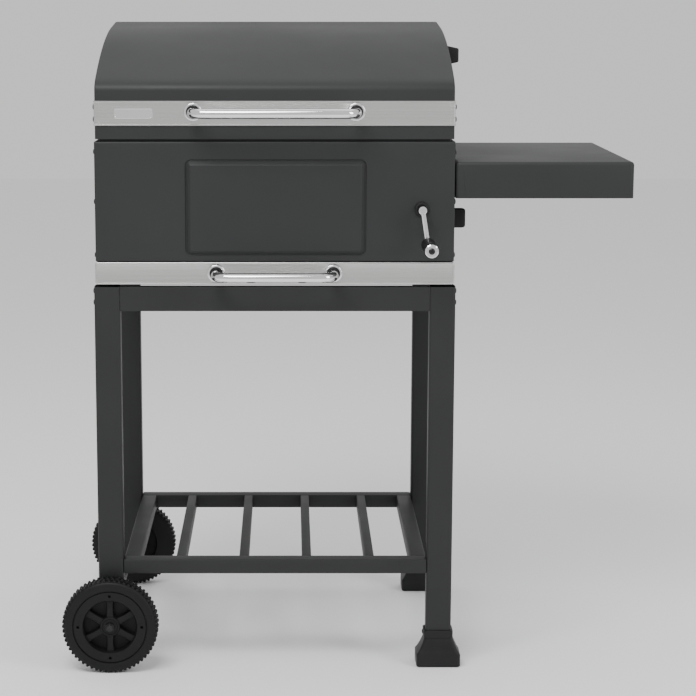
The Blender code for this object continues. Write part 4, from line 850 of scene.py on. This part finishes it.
def spindle_hole(start, end):
    """Cutter for the hole that the crank's spindle passes through, from one y to another."""
    low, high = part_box("spindle")
    hole = bmesh.new()
    centre = ((low.x + high.x) / 2, (low.z + high.z) / 2)
    knob_turned(hole, [(SPINDLE_HOLE, start), (SPINDLE_HOLE, end)], centre, "y", 24)
    return hole


def build_firebox(sizes):
    """Front with its stamped field, rear, sides and the lip round the mouth."""
    low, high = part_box("front_panel")
    top = high.z - LIP_RISE
    front = PANEL_FRONT
    bend = sizes.bend_radius
    stamp = (FIELD_LOW, FIELD_HIGH, 0.010, sizes.stamp_bevel, sizes.stamp_rise, 0.0016)
    rings = pan_rings((low.x, low.z), (high.x, top), PANEL_DEPTH, 0.0014, bend, SHEET, stamp=stamp)
    bm = bmesh.new()
    loft(bm, facing(rings, lambda a, b, height: (a, front + PANEL_DEPTH - height, b)))
    panel = mesh_piece("front panel", bm, radians(50))
    cut(panel, [spindle_hole(front - 0.01, front + 0.006)])
    dress(panel, "cart", "body_paint", ("front_panel",))
    low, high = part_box("rear_panel")
    back = high.y
    rings = pan_rings((low.x, low.z), (high.x, top), PANEL_DEPTH, 0.0014, bend, SHEET)
    bm = bmesh.new()
    loft(bm, facing(rings, lambda a, b, height: (a, back - PANEL_DEPTH + height, b)))
    rear = mesh_piece("rear panel", bm, radians(50))
    cut(rear, [spindle_hole(back - 0.006, back + 0.01)])
    dress(rear, "cart", "body_paint", ("rear_panel",))
    bm = bmesh.new()
    left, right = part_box("side_panel_left")[0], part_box("side_panel_right")[1]
    rim_lip(bm, (left.x + 0.0004, front + 0.0016), (right.x - 0.0004, back - 0.0016), top - 0.0002)
    dress(mesh_piece("mouth lip", bm), "cart", "body_paint")
    for name in ("side_panel_left", "side_panel_right"):
        softened(name, name.replace("_", " "), "cart", "body_paint", 0.0003)


def build_drawer():
    """Stainless drawer front and the ash tray behind it."""
    low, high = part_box("drawer_front")
    depth = high.y - low.y
    field = (low.x + 0.0026, low.z + 0.0024), (high.x - 0.0026, high.z - 0.0024)
    stamp = (*field, 0.0024, 0.0007, -0.0006, 0.0)
    rings = pan_rings((low.x, low.z), (high.x, high.z), depth, 0.0042, 0.0018, 0.0010, stamp=stamp)
    bm = bmesh.new()
    loft(bm, facing(rings, lambda a, b, height: (a, high.y - height, b)))
    dress(mesh_piece("drawer front", bm, radians(40)), "drawer", "stainless", ("drawer_front",))
    low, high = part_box("ash_tray")
    rings = pan_rings((low.x, low.y), (high.x, high.y), high.z - low.z, 0.008, 0.0045, SHEET)
    bm = bmesh.new()
    loft(bm, facing(rings, lambda a, b, height: (a, b, high.z - height)))
    dress(mesh_piece("ash tray", bm, radians(50)), "drawer", "black_enamel", ("ash_tray",))


def build_shelf(sizes):
    """Side shelf pressed from one sheet, with its soft upper edges and a thin upright strip on its front
    face.
    """
    low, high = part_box("side_shelf")
    tall = high.z - low.z
    rings = pan_rings((low.x, low.y), (high.x, high.y), tall, 0.0065, sizes.shelf_bend, SHEET, 0.012)
    bm = bmesh.new()
    loft(bm, facing(rings, lambda a, b, height: (a, b, low.z + height)))
    start = (low.x + 0.0140, low.y - 0.0002, low.z + 0.003)
    block(bm, start, (low.x + 0.0152, low.y + 0.0006, high.z - 0.006), 0.0003)
    dress(mesh_piece("side shelf", bm, radians(50)), "cart", "body_paint", ("side_shelf",))


# ---------------------------------------------------------------- leg frame
LEG_PLACES = ("front_left", "front_right", "rear_left", "rear_right")
RACK_RAIL, RACK_SLAT, RACK_PITCH, RACK_SEAM = 0.0262, 0.0154, 0.1057, 0.0003
FOOT_COLLAR, FOOT_SOLE = 0.0030, 0.0205


def build_legs():
    """Four square steel tubes with round corners, and the aprons between them."""
    wall, corner = 0.0012, 0.0042
    for place in LEG_PLACES:
        node = "leg_" + place
        low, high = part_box(node)
        rings = []
        for inset, z in ((0.0, low.z), (0.0, high.z), (wall, high.z), (wall, low.z)):
            start, end = (low.x + inset, low.y + inset), (high.x - inset, high.y - inset)
            rings.append([(x, y, z) for x, y in rounded(start, end, corner - inset, 6)])
        bm = bmesh.new()
        loft_closed(bm, rings)
        dress(mesh_piece("leg " + place.replace("_", " "), bm), "cart", "frame_paint", (node,))
    for side in ("front", "rear", "left", "right"):
        softened("apron_" + side, "apron " + side, "cart", "frame_paint", 0.0005)


def build_rack():
    """Bottom rack: four rails and four slats with rounded edges and weld seams."""
    low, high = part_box("bottom_rack")
    near, far = low.y + RACK_RAIL, high.y - RACK_RAIL
    bars = [((low.x, low.y), (high.x, near)), ((low.x, far), (high.x, high.y))]
    across = [(low.x, low.x + RACK_RAIL), (high.x - RACK_RAIL, high.x)]
    for k in range(4):
        x = (low.x + high.x) / 2 + (k - 1.5) * RACK_PITCH
        across.append((x - RACK_SLAT / 2, x + RACK_SLAT / 2))
    bars += [((left, near + RACK_SEAM), (right, far - RACK_SEAM)) for left, right in across]
    bm = bmesh.new()
    for start, end in bars:
        rings = pan_rings(start, end, high.z - low.z, 0.0008, 0.0016, 0.0015, steps=3)
        loft(bm, facing(rings, lambda a, b, height: (a, b, low.z + height)))
    dress(mesh_piece("bottom rack", bm, radians(45)), "cart", "frame_paint", ("bottom_rack",))


def build_feet():
    """Moulded shoes of the right legs: collar, flare and upright base."""
    for place in ("front", "rear"):
        node = "foot_%s_right" % place
        low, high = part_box(node)
        leg_low, leg_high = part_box("leg_%s_right" % place)
        middle_y = (low.y + high.y) / 2
        waist_low, waist_high = leg_low.x - FOOT_COLLAR, leg_high.x + FOOT_COLLAR
        waist_near, waist_far = leg_low.y - FOOT_COLLAR, leg_high.y + FOOT_COLLAR
        profile = [(1.0, 0.0, -0.0022), (1.0, 0.0008, -0.0008), (1.0, 0.0024, 0.0), (1.0, FOOT_SOLE, 0.0)]
        for share in (0.15, 0.4, 0.65, 0.85, 1.0):
            z = FOOT_SOLE + 0.0006 + (high.z - 0.0130 - FOOT_SOLE) * share
            profile.append((1 - share ** 0.9, z, -0.0006))
        profile += [(0.0, high.z - 0.0122, 0.0004), (0.0, high.z - 0.0008, 0.0004), (0.0, high.z, -0.0004)]
        rings = []
        for share, z, grow in profile:
            wide = share * share * 0.35 + share * 0.65
            x0 = waist_low + (low.x - waist_low) * wide - grow
            x1 = waist_high + (high.x - waist_high) * share + grow
            y0 = waist_near + (low.y - waist_near) * share - grow
            y1 = waist_far + (high.y - waist_far) * share + grow
            rings.append([(x, y, z) for x, y in rounded((x0, y0), (x1, y1), 0.0052, 5)])
        inner_low = (leg_low.x - 0.0003, leg_low.y - 0.0003)
        inner_high = (leg_high.x + 0.0003, leg_high.y + 0.0003)
        for z in (high.z, leg_low.z - 0.0003):
            rings.append([(x, y, z) for x, y in rounded(inner_low, inner_high, 0.0044, 5)])
        bm = bmesh.new()
        loft(bm, rings)
        piece = mesh_piece("foot " + place + " right", bm, radians(38))
        dress(piece, "cart", "black_plastic", (node,))
        spot = (leg_low.x - FOOT_COLLAR - 0.0003, middle_y, high.z - 0.006)
        screws("foot screw " + place, "cart", [(spot, (-1.0, 0.0, 0.0))])


# ---------------------------------------------------------------- wheels
WHEEL_WIDTH = 0.0350
LUG_HEIGHT = 0.0024
TREAD_TURN = 0.0062


def lug_part(long, wide, high):
    """One tread lug: a low block with sloping sides, standing on z = 0."""
    bm = bmesh.new()
    rings = []
    for inset, z in ((0.0, -0.0012), (0.0, 0.0), (high * 0.35, high * 0.85), (high * 0.6, high)):
        start, end = (-wide / 2 + inset, -long / 2 + inset), (wide / 2 - inset, long / 2 - inset)
        rings.append([(x, y, z) for x, y in rounded(start, end, 0.0006, 2)])
    loft(bm, rings)
    return mesh_piece("lug", bm)


def build_wheel(node, body, outward, sizes):
    """Moulded wheel: carcass, hub, six spokes, square pockets and two rows of lugs."""
    low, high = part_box(node)
    x, z, reach = (low.x + high.x) / 2, (low.z + high.z) / 2, (high.z - low.z) / 2
    outer, boss = (low.y, high.y) if outward < 0 else (high.y, low.y)
    way = -outward
    tread = reach - LUG_HEIGHT
    middle = WHEEL_WIDTH / 2

    def at(radius, depth):
        """Point of the turned profile, with its depth measured from the wheel's outer face."""
        return radius, outer + way * depth

    profile = [at(0.0440, 0.0040), at(0.0455, 0.0016), at(0.0480, 0.0010), at(0.0598, 0.0010)]
    profile += [at(0.0603, 0.0028), at(0.0617, 0.0028), at(0.0623, 0.0004)]
    profile += [at(0.0640, 0.0), at(0.0700, 0.0006)]
    turn = []
    for angle in arc(0.0, pi / 2, 6):
        turn.append((TREAD_TURN * (1 - sin(angle)), 0.0010 + TREAD_TURN * (1 - cos(angle))))
    profile += [at(tread - drop, depth) for drop, depth in turn]
    profile += [at(tread, middle - 0.0012), at(tread - 0.0012, middle - 0.0006)]
    profile += [at(tread - 0.0012, middle + 0.0006), at(tread, middle + 0.0012)]
    profile += [at(tread - drop, WHEEL_WIDTH - depth) for drop, depth in turn[::-1]]
    for radius, depth in ((0.0640, 0.0), (0.0500, 0.003), (0.0455, 0.003), (0.0440, 0.005)):
        profile.append(at(radius, WHEEL_WIDTH - depth))
    bm = bmesh.new()
    turned(bm, profile, (x, z), "y", 120)
    rim = mesh_piece(node.replace("_", " "), bm, radians(24))
    pockets = []
    for k in range(4):
        angle = k * pi / 2
        px, pz = x + 0.0532 * cos(angle), z + 0.0532 * sin(angle)
        start, end = sorted((outer - way * 0.002, outer + way * 0.0060))
        pockets.append(box_shape((px - 0.0022, start, pz - 0.0022), (px + 0.0022, end, pz + 0.0022)))
    cut(rim, pockets)
    dress(rim, body, "tyre", (node,))
    bm = bmesh.new()
    face = outer + way * 0.0040
    hub = [(0.0053, face), (0.0120, face), (0.0124, face + way * 0.0008), (0.0132, face + way * 0.0008)]
    hub += [(0.0136, face), (0.0158, face), (0.0166, face + way * 0.0010), (0.0170, face + way * 0.0030)]
    web = outer + way * 0.0185
    hub += [(0.0170, web), (0.0300, web + way * 0.0004), (0.0450, web), (0.0462, web)]
    hub += [(0.0462, web + way * 0.0020), (0.0170, web + way * 0.0020), (0.0170, boss), (0.0053, boss)]
    turned(bm, hub, (x, z), "y", 64)
    for k in range(6):
        angle = pi / 2 + k * tau / 6
        along = Vector((cos(angle), 0.0, sin(angle)))
        across = Vector((-sin(angle), 0.0, cos(angle)))
        rings = []
        for share in arc(0.0, 1.0, 8):
            distance = 0.0150 + share * (0.0290 if k % 2 else 0.0305)
            half = 0.0052 + 0.0016 * abs(2 * share - 0.9) ** 2
            lift = outer + way * (0.0058 + 0.0016 * share)
            deep = outer + way * 0.0188
            centre = Vector((x, 0.0, z)) + along * distance
            section = [(-half, deep), (-half, lift + way * 0.0026)]
            section += [(-half * 0.86, lift + way * 0.0008), (-half * 0.5, lift), (half * 0.5, lift)]
            section += [(half * 0.86, lift + way * 0.0008), (half, lift + way * 0.0026), (half, deep)]
            rings.append([centre + across * a + Vector((0.0, y, 0.0)) for a, y in section])
        loft(bm, rings)
    hub_piece = mesh_piece(node.replace("_", " ") + " hub", bm, radians(35))
    dress(hub_piece, body, "tyre")
    spots = []
    count = sizes.tread_lugs
    for row, share in ((0, 0.27), (1, 0.73)):
        y = outer + way * WHEEL_WIDTH * share
        for k in range(count):
            angle = (k + row / 2) * tau / count
            way_out = Vector((cos(angle), 0.0, sin(angle)))
            spots.append((Vector((x, y, z)) + way_out * tread, way_out, Vector((0.0, 1.0, 0.0))))
    pitch = tau * reach / count
    lug = lug_part(WHEEL_WIDTH * 0.36, pitch * 0.58, LUG_HEIGHT)
    lugs = repeat(node.replace("_", " ") + " tread", lug, spots, "tyre")
    dress(lugs, body, "tyre")


def build_wheels(sizes):
    """Both wheels, with the nuts on their axle."""
    build_wheel("wheel_front", "front_wheel", -1, sizes)
    build_wheel("wheel_rear", "rear_wheel", 1, sizes)
    for name in ("axle_nut_front", "axle_nut_rear"):
        softened(name, name.replace("_", " "), "cart", "screw", 0.0007, 3)
    softened("axle", "axle rod", "cart", "screw", 0.0006, 2)


# ---------------------------------------------------------------- crank and vents
CRANK_BEND = 0.0100
CRANK_ROD = 0.0043
GRIP_BORE = 0.0047
BOX_KNOB = (
    (0.0, 0.80, 0.9), (0.10, 0.80, 0.9), (0.16, 0.97, 1.0), (0.22, 1.0, 1.0),
    (0.80, 1.0, 1.0), (0.90, 0.97, 0.96), (0.97, 0.90, 0.86), (1.0, 0.80, 0.72),
)
LID_KNOB = (
    (0.0, 1.0, 1.0), (0.10, 0.98, 1.0), (0.50, 0.86, 0.94),
    (0.85, 0.76, 0.88), (0.95, 0.72, 0.82), (1.0, 0.64, 0.70),
)


def build_crank():
    """Chrome crank rod with its grip, collar, end ring and wall ring."""
    low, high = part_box("spindle")
    x, z = (low.x + high.x) / 2, (low.z + high.z) / 2
    grip_low, grip_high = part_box("crank_grip")
    grip_x, grip_z = (grip_low.x + grip_high.x) / 2, (grip_low.z + grip_high.z) / 2
    rod_y = low.y - 0.0046
    down = Vector((grip_x - x, 0.0, grip_z - z)).normalized()
    top, bottom = Vector((x, rod_y, z)), Vector((grip_x, rod_y, grip_z))
    path = [top - down * 0.0062, top - down * 0.0030, top, top + down * 0.02]
    for angle in arc(0.0, pi / 2, 10):
        forward = Vector((0.0, CRANK_BEND * (1 - cos(angle)), 0.0))
        path.append(bottom - down * CRANK_BEND * (1 - sin(angle)) - forward)
    path.append(Vector((grip_x, grip_low.y + 0.003, grip_z)))
    bm = bmesh.new()
    tube(bm, path, CRANK_ROD, 24)
    profile = [(0.0062, rod_y + 0.0050), (0.0066, rod_y + 0.0044)]
    profile += [(0.0066, rod_y - 0.0035), (0.0052, rod_y - 0.0048)]
    knob_turned(bm, profile, (x, z), "y", 32)
    dress(mesh_piece("crank rod", bm, radians(40)), "crank", "chrome", ("crank_arm",))
    bm = bmesh.new()
    collar = [(0.0046, grip_high.y + 0.0004), (0.0074, grip_high.y + 0.0004), (0.0080, grip_high.y + 0.0012)]
    collar += [(0.0080, grip_high.y + 0.0052), (0.0072, grip_high.y + 0.0060), (0.0046, grip_high.y + 0.0060)]
    turned(bm, collar, (grip_x, grip_z), "y", 32)
    dress(mesh_piece("crank collar", bm), "crank", "black_plastic")
    radius = (grip_high.x - grip_low.x) / 2
    start, end = grip_low.y + 0.0042, grip_high.y
    profile = [(GRIP_BORE, start), (radius - 0.0016, start)]
    profile += [(radius - 0.0005, start + 0.0005), (radius, start + 0.0018)]
    for share in arc(0.0, 1.0, 8)[1:-1]:
        profile.append((radius - 0.0007 * sin(share * pi), start + (end - start) * share))
    profile += [(radius, end - 0.0040), (radius - 0.0008, end - 0.0012)]
    profile += [(radius - 0.0030, end), (GRIP_BORE, end)]
    bm = bmesh.new()
    turned(bm, profile, (grip_x, grip_z), "y", 40)
    dress(mesh_piece("grip", bm, radians(30)), "grip", "black_plastic", ("crank_grip",))
    bm = bmesh.new()
    ring = [(0.0052, start - 0.0002), (radius - 0.0012, start - 0.0002), (radius - 0.0008, start - 0.0010)]
    ring += [(radius - 0.0010, start - 0.0028), (radius - 0.0024, start - 0.0038), (0.0052, start - 0.0038)]
    turned(bm, ring, (grip_x, grip_z), "y", 40)
    dress(mesh_piece("grip end ring", bm, radians(30)), "grip", "chrome")
    screws("grip screw", "crank", [((grip_x, start - 0.0034, grip_z), (0.0, -1.0, 0.0))], "screw", 0.0050)
    low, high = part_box("spindle_escutcheon")
    outer = (high.x - low.x) / 2
    profile = [(0.0056, high.y), (outer, high.y), (outer, low.y + 0.0020), (outer - 0.0006, low.y + 0.0006)]
    profile += [(outer - 0.0020, low.y), (outer - 0.0042, low.y)]
    profile += [(outer - 0.0050, low.y + 0.0012), (0.0056, low.y + 0.0014)]
    bm = bmesh.new()
    turned(bm, profile, (x, z), "y", 40)
    dress(mesh_piece("crank wall ring", bm, radians(30)), "cart", "black_plastic", ("spindle_escutcheon",))
    softened("spindle", "crank spindle", "crank", "zinc_steel", 0.0006)
    softened("lift_nut", "lift nut", "lift_cam", "zinc_steel", 0.0006)


def build_vents():
    """Sliders with their moulded knobs, one low on the firebox and one on the lid.

    A knob's shape is (share of its length, height, width) from the slider to its end.
    """
    for body, shape, drop in (("firebox_vent", BOX_KNOB, 0.0), ("lid_vent", LID_KNOB, 0.008)):
        label = body.replace("_", " ")
        softened(body + "_slider", label + " slider", body, "body_paint", 0.0003)
        low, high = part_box(body + "_knob")
        middle, half = (low + high) / 2, (high - low) / 2
        rings = []
        for out, tall, wide in shape:
            x, reach_y, reach_z = low.x + (high.x - low.x) * out, half.y * wide, half.z * tall
            start, end = (middle.y - reach_y, middle.z - reach_z), (middle.y + reach_y, middle.z + reach_z)
            rings.append([(x, y, z) for y, z in rounded(start, end, reach_y * 0.35, 6)])
        bm = bmesh.new()
        loft(bm, rings)
        knob = mesh_piece(label + " knob", bm, radians(45))
        dress(knob, body, "black_plastic", (body + "_knob",))
        spot = (low.x + 0.0004, middle.y, middle.z - half.z * 0.62 - drop)
        screws(label + " screw", body, [(spot, (1.0, 0.0, 0.0))], "zinc_steel", 0.0034)


# ---------------------------------------------------------------- cooking parts
WIRE_PITCH = 0.0105
GRATE_CORNER = 0.010
PAN_SLOTS = 7


def wire_part(length, radius, sides=12):
    """Straight wire along y with rounded ends."""
    bm = bmesh.new()
    half = length / 2
    ends = [(radius * 0.5, half), (radius * 0.85, half - radius * 0.3), (radius, half - radius * 0.7)]
    profile = [(r, -y) for r, y in ends] + [(r, y) for r, y in reversed(ends)]
    knob_turned(bm, profile, (0.0, 0.0), "y", sides)
    return mesh_piece("wire", bm)


def build_grates(sizes):
    """Cooking grates of round wire welded on a wire frame."""
    radius = sizes.wire_radius
    frame_radius = radius * 1.35
    up = Vector((0, 0, 1))
    turns = [tau * k / 12 for k in range(12)]
    for side in ("left", "right"):
        node = "cooking_grate_" + side
        low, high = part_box(node)
        x0, x1 = low.x + frame_radius, high.x - frame_radius
        y0, y1 = low.y + frame_radius, high.y - frame_radius
        level = low.z + frame_radius
        path = [(x, y, level) for x, y in rounded((x0, y0), (x1, y1), GRATE_CORNER, 6)]
        bm = bmesh.new()
        rings = []
        for k, point in enumerate(path):
            before, after = Vector(path[k - 1]), Vector(path[(k + 1) % len(path)])
            across = (after - before).normalized().cross(up)
            middle = Vector(point)
            rings.append([middle + (across * cos(turn) + up * sin(turn)) * frame_radius for turn in turns])
        loft_closed(bm, rings)
        for y in (low.y + (high.y - low.y) * share for share in (0.33, 0.67)):
            tube(bm, [(x0, y, level), ((x0 + x1) / 2, y, level), (x1, y, level)], frame_radius, 12)
        dress(mesh_piece("grate frame " + side, bm), "cart", "grate_enamel", (node,))
        count = round((x1 - x0) / WIRE_PITCH)
        step, lift = (x1 - x0) / (count + 1), level + frame_radius + radius * 0.6
        spots = []
        for k in range(count):
            spots.append((Vector((x0 + step * (k + 1), (y0 + y1) / 2, lift)), up, Vector((0, 1, 0))))
        wires = repeat("grate wires " + side, wire_part(y1 - y0, radius), spots, "grate_enamel")
        dress(wires, "cart", "grate_enamel")


def build_pan():
    """Charcoal pan with air slots, the lift rods under it and the frame that raises them."""
    low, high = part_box("charcoal_pan")
    rings = pan_rings((low.x, low.y), (high.x, high.y), high.z - low.z, 0.012, 0.006, SHEET)
    bm = bmesh.new()
    loft(bm, facing(rings, lambda a, b, height: (a, b, high.z - height)))
    pan = mesh_piece("charcoal pan", bm, radians(50))
    pitch = (high.x - low.x - 0.06) / PAN_SLOTS
    slots = []
    for k in range(PAN_SLOTS):
        x = (low.x + high.x) / 2 + (k - (PAN_SLOTS - 1) / 2) * pitch
        start, end = (x - 0.004, low.y + 0.04, low.z - 0.001), (x + 0.004, high.y - 0.04, low.z + 0.003)
        slots.append(box_shape(start, end))
    cut(pan, slots)
    dress(pan, "pan", "black_enamel", ("charcoal_pan",))
    for name in ("lift_rod_front", "lift_rod_rear"):
        softened(name, name.replace("_", " "), "pan", "zinc_steel", 0.0006)
    for name in ("cam_plate_left", "cam_plate_right", "cam_tie_bar"):
        softened(name, name.replace("_", " "), "lift_cam", "zinc_steel", 0.0003)
    for name in ("lift_guide_left", "lift_guide_right", "drawer_rail_left", "drawer_rail_right"):
        softened(name, name.replace("_", " "), "cart", "zinc_steel", 0.0003)


def build_hinges():
    """Hinge leaves and pins behind the cart, with their screws."""
    for side in ("left", "right"):
        softened("hinge_fixed_leaf_" + side, "hinge lower leaf " + side, "cart", "zinc_steel", 0.0003)
        softened("hinge_lid_leaf_" + side, "hinge upper leaf " + side, "lid", "zinc_steel", 0.0003)
        softened("hinge_pin_" + side, "hinge pin " + side, "cart", "zinc_steel", 0.0005)
        for leaf, body, share in (("fixed", "cart", 0.30), ("lid", "lid", 0.70)):
            low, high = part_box("hinge_%s_leaf_%s" % (leaf, side))
            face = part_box("hinge_lid_leaf_" + side)[0].y + 0.0015
            z = low.z + (high.z - low.z) * share
            spots = [((low.x + (high.x - low.x) * x, face, z), (0.0, 1.0, 0.0)) for x in (0.2, 0.5, 0.8)]
            screws("hinge screws %s %s" % (leaf, side), body, spots, "zinc_steel", 0.0036)


PANEL_SCREW_LEVELS = (0.865, 0.784, 0.697)
LEG_SCREW_LEVELS = (0.637, 0.618)


def build_screws():
    """Screw heads on the firebox sides, the aprons and the legs."""
    left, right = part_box("side_panel_left")[0].x - 0.0012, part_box("side_panel_right")[1].x + 0.0012
    front, back = PANEL_FRONT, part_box("rear_panel")[1].y
    spots = []
    for x, way in ((left, -1.0), (right, 1.0)):
        for y in (front + 0.0095, back - 0.0095):
            for z in PANEL_SCREW_LEVELS:
                spots.append(((x, y, z), (way, 0.0, 0.0)))
    for place in LEG_PLACES:
        low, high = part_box("leg_" + place)
        x, way = (low.x, -1.0) if place.endswith("left") else (high.x, 1.0)
        for z in LEG_SCREW_LEVELS:
            spots.append(((x, (low.y + high.y) / 2, z), (way, 0.0, 0.0)))
    screws("cart screws", "cart", spots)


# ---------------------------------------------------------------- stage
def plain(name, colour, roughness):
    made = bpy.data.materials.new(name)
    made.use_nodes = True
    shader = made.node_tree.nodes["Principled BSDF"]
    shader.inputs["Base Color"].default_value = (*colour, 1.0)
    shader.inputs["Roughness"].default_value = roughness
    return made


def area_light(name, place, target, size, power):
    data = bpy.data.lights.new(name, "AREA")
    data.shape = "RECTANGLE"
    data.size, data.size_y = size
    data.energy = power
    lamp = bpy.data.objects.new(name, data)
    lamp.location = place
    lamp.rotation_euler = (Vector(target) - Vector(place)).to_track_quat("-Z", "Y").to_euler()
    bpy.context.scene.collection.objects.link(lamp)


def build_stage():
    """Pale floor, soft studio light and the camera."""
    scene = bpy.context.scene
    bm = bmesh.new()
    loft(bm, [[(x, y, 0.0) for x, y in ((-9, -9), (9, -9), (9, 9), (-9, 9))]], caps=False)
    bm.faces.new(list(bm.verts))
    floor = mesh_piece("floor", bm)
    floor.data.materials.append(plain("Studio floor", (0.93, 0.93, 0.93), 0.8))
    floor.location.z = -0.0005
    world = bpy.data.worlds.new("studio")
    world.use_nodes = True
    scene.world = world
    sky = world.node_tree.nodes["Background"]
    sky.inputs["Color"].default_value = (1.0, 1.0, 1.0, 1.0)
    sky.inputs["Strength"].default_value = 0.80
    area_light("key", (-0.9, -1.9, 3.0), (0.0, 0.0, 0.7), (1.8, 1.2), 76.0)
    area_light("fill", (2.4, -1.8, 1.8), (0.0, 0.0, 0.6), (1.0, 1.8), 30.0)
    area_light("top", (0.0, 0.6, 2.9), (0.0, 0.1, 0.9), (2.4, 1.4), 10.0)
    lens = bpy.data.cameras.new("camera")
    lens.sensor_width, lens.lens = 36.0, 103.94
    lens.shift_x, lens.shift_y = 0.0862, 0.0016
    eye = bpy.data.objects.new("camera", lens)
    eye.location = (-0.09225, -3.44725, 1.1115)
    eye.rotation_euler = (radians(90.0 - 9.94), 0.0, 0.0)
    scene.collection.objects.link(eye)
    scene.camera = eye


# ---------------------------------------------------------------- operators
class GRILL_OT_lid(bpy.types.Operator):
    """Build the lid's skin and end plates"""

    bl_idname = "grill.lid"
    bl_label = "Lid"

    def execute(self, context):
        build_lid(context.scene.grill_sizes)
        return {"FINISHED"}


class GRILL_OT_band(bpy.types.Operator):
    """Build the stainless band round the lid"""

    bl_idname = "grill.band"
    bl_label = "Lid band"

    def execute(self, context):
        build_band()
        return {"FINISHED"}


class GRILL_OT_handles(bpy.types.Operator):
    """Build the chrome handles and their rosettes"""

    bl_idname = "grill.handles"
    bl_label = "Handles"

    def execute(self, context):
        build_handles(context.scene.grill_sizes)
        return {"FINISHED"}


class GRILL_OT_firebox(bpy.types.Operator):
    """Build the firebox panels and the lip round its mouth"""

    bl_idname = "grill.firebox"
    bl_label = "Firebox"

    def execute(self, context):
        build_firebox(context.scene.grill_sizes)
        return {"FINISHED"}


class GRILL_OT_drawer(bpy.types.Operator):
    """Build the ash drawer"""

    bl_idname = "grill.drawer"
    bl_label = "Ash drawer"

    def execute(self, context):
        build_drawer()
        return {"FINISHED"}


class GRILL_OT_shelf(bpy.types.Operator):
    """Build the side shelf"""

    bl_idname = "grill.shelf"
    bl_label = "Side shelf"

    def execute(self, context):
        build_shelf(context.scene.grill_sizes)
        return {"FINISHED"}


class GRILL_OT_legs(bpy.types.Operator):
    """Build the legs, aprons, bottom rack and feet"""

    bl_idname = "grill.legs"
    bl_label = "Leg frame"

    def execute(self, context):
        build_legs()
        build_rack()
        build_feet()
        return {"FINISHED"}


class GRILL_OT_wheels(bpy.types.Operator):
    """Build the wheels and their axle"""

    bl_idname = "grill.wheels"
    bl_label = "Wheels"

    def execute(self, context):
        build_wheels(context.scene.grill_sizes)
        return {"FINISHED"}


class GRILL_OT_crank(bpy.types.Operator):
    """Build the crank and its grip"""

    bl_idname = "grill.crank"
    bl_label = "Crank"

    def execute(self, context):
        build_crank()
        return {"FINISHED"}


class GRILL_OT_vents(bpy.types.Operator):
    """Build the vent sliders and knobs"""

    bl_idname = "grill.vents"
    bl_label = "Vents"

    def execute(self, context):
        build_vents()
        return {"FINISHED"}


class GRILL_OT_cooking(bpy.types.Operator):
    """Build the cooking grates, the charcoal pan and its lift"""

    bl_idname = "grill.cooking"
    bl_label = "Cooking parts"

    def execute(self, context):
        build_grates(context.scene.grill_sizes)
        build_pan()
        return {"FINISHED"}


class GRILL_OT_hardware(bpy.types.Operator):
    """Build the hinges and place the screws"""

    bl_idname = "grill.hardware"
    bl_label = "Hinges and screws"

    def execute(self, context):
        build_hinges()
        build_screws()
        return {"FINISHED"}


class GRILL_OT_stage(bpy.types.Operator):
    """Build the floor, the lights and the camera"""

    bl_idname = "grill.stage"
    bl_label = "Stage"

    def execute(self, context):
        build_stage()
        return {"FINISHED"}


class GRILL_PT_panel(bpy.types.Panel):
    """Sidebar panel of the grill cart"""

    bl_idname = "GRILL_PT_panel"
    bl_label = "Grill Cart"
    bl_space_type = "VIEW_3D"
    bl_region_type = "UI"
    bl_category = "Grill Cart"

    def draw(self, context):
        scene = context.scene
        for group in (scene.grill_sizes, scene.grill_colours):
            box = self.layout.box()
            for name in group.__annotations__:
                box.prop(group, name)
        for step in STEPS:
            self.layout.operator(step.bl_idname)


STEPS = (
    GRILL_OT_lid, GRILL_OT_band, GRILL_OT_handles, GRILL_OT_firebox, GRILL_OT_drawer, GRILL_OT_shelf,
    GRILL_OT_legs, GRILL_OT_wheels, GRILL_OT_crank, GRILL_OT_vents, GRILL_OT_cooking, GRILL_OT_hardware,
    GRILL_OT_stage,
)
CLASSES = (GrillSizes, GrillColours, *STEPS, GRILL_PT_panel)


def register():
    for item in CLASSES:
        bpy.utils.register_class(item)
    bpy.types.Scene.grill_sizes = PointerProperty(type=GrillSizes)
    bpy.types.Scene.grill_colours = PointerProperty(type=GrillColours)


def unregister():
    del bpy.types.Scene.grill_colours
    del bpy.types.Scene.grill_sizes
    for item in reversed(CLASSES):
        bpy.utils.unregister_class(item)


def run(step):
    """Calls one operator and stops the script if it doesn't finish."""
    group, name = step.bl_idname.split(".")
    if getattr(getattr(bpy.ops, group), name)() != {"FINISHED"}:
        raise RuntimeError(step.bl_idname + " did not finish")


def main():
    register()
    FINISHES.update(make_finishes(bpy.context.scene.grill_colours))
    for step in STEPS:
        run(step)
    for name, node in frame["nodes"].items():
        if not node.hide_render:
            raise RuntimeError(name + " has no visible piece of its own")


if __name__ == "__main__":
    main()
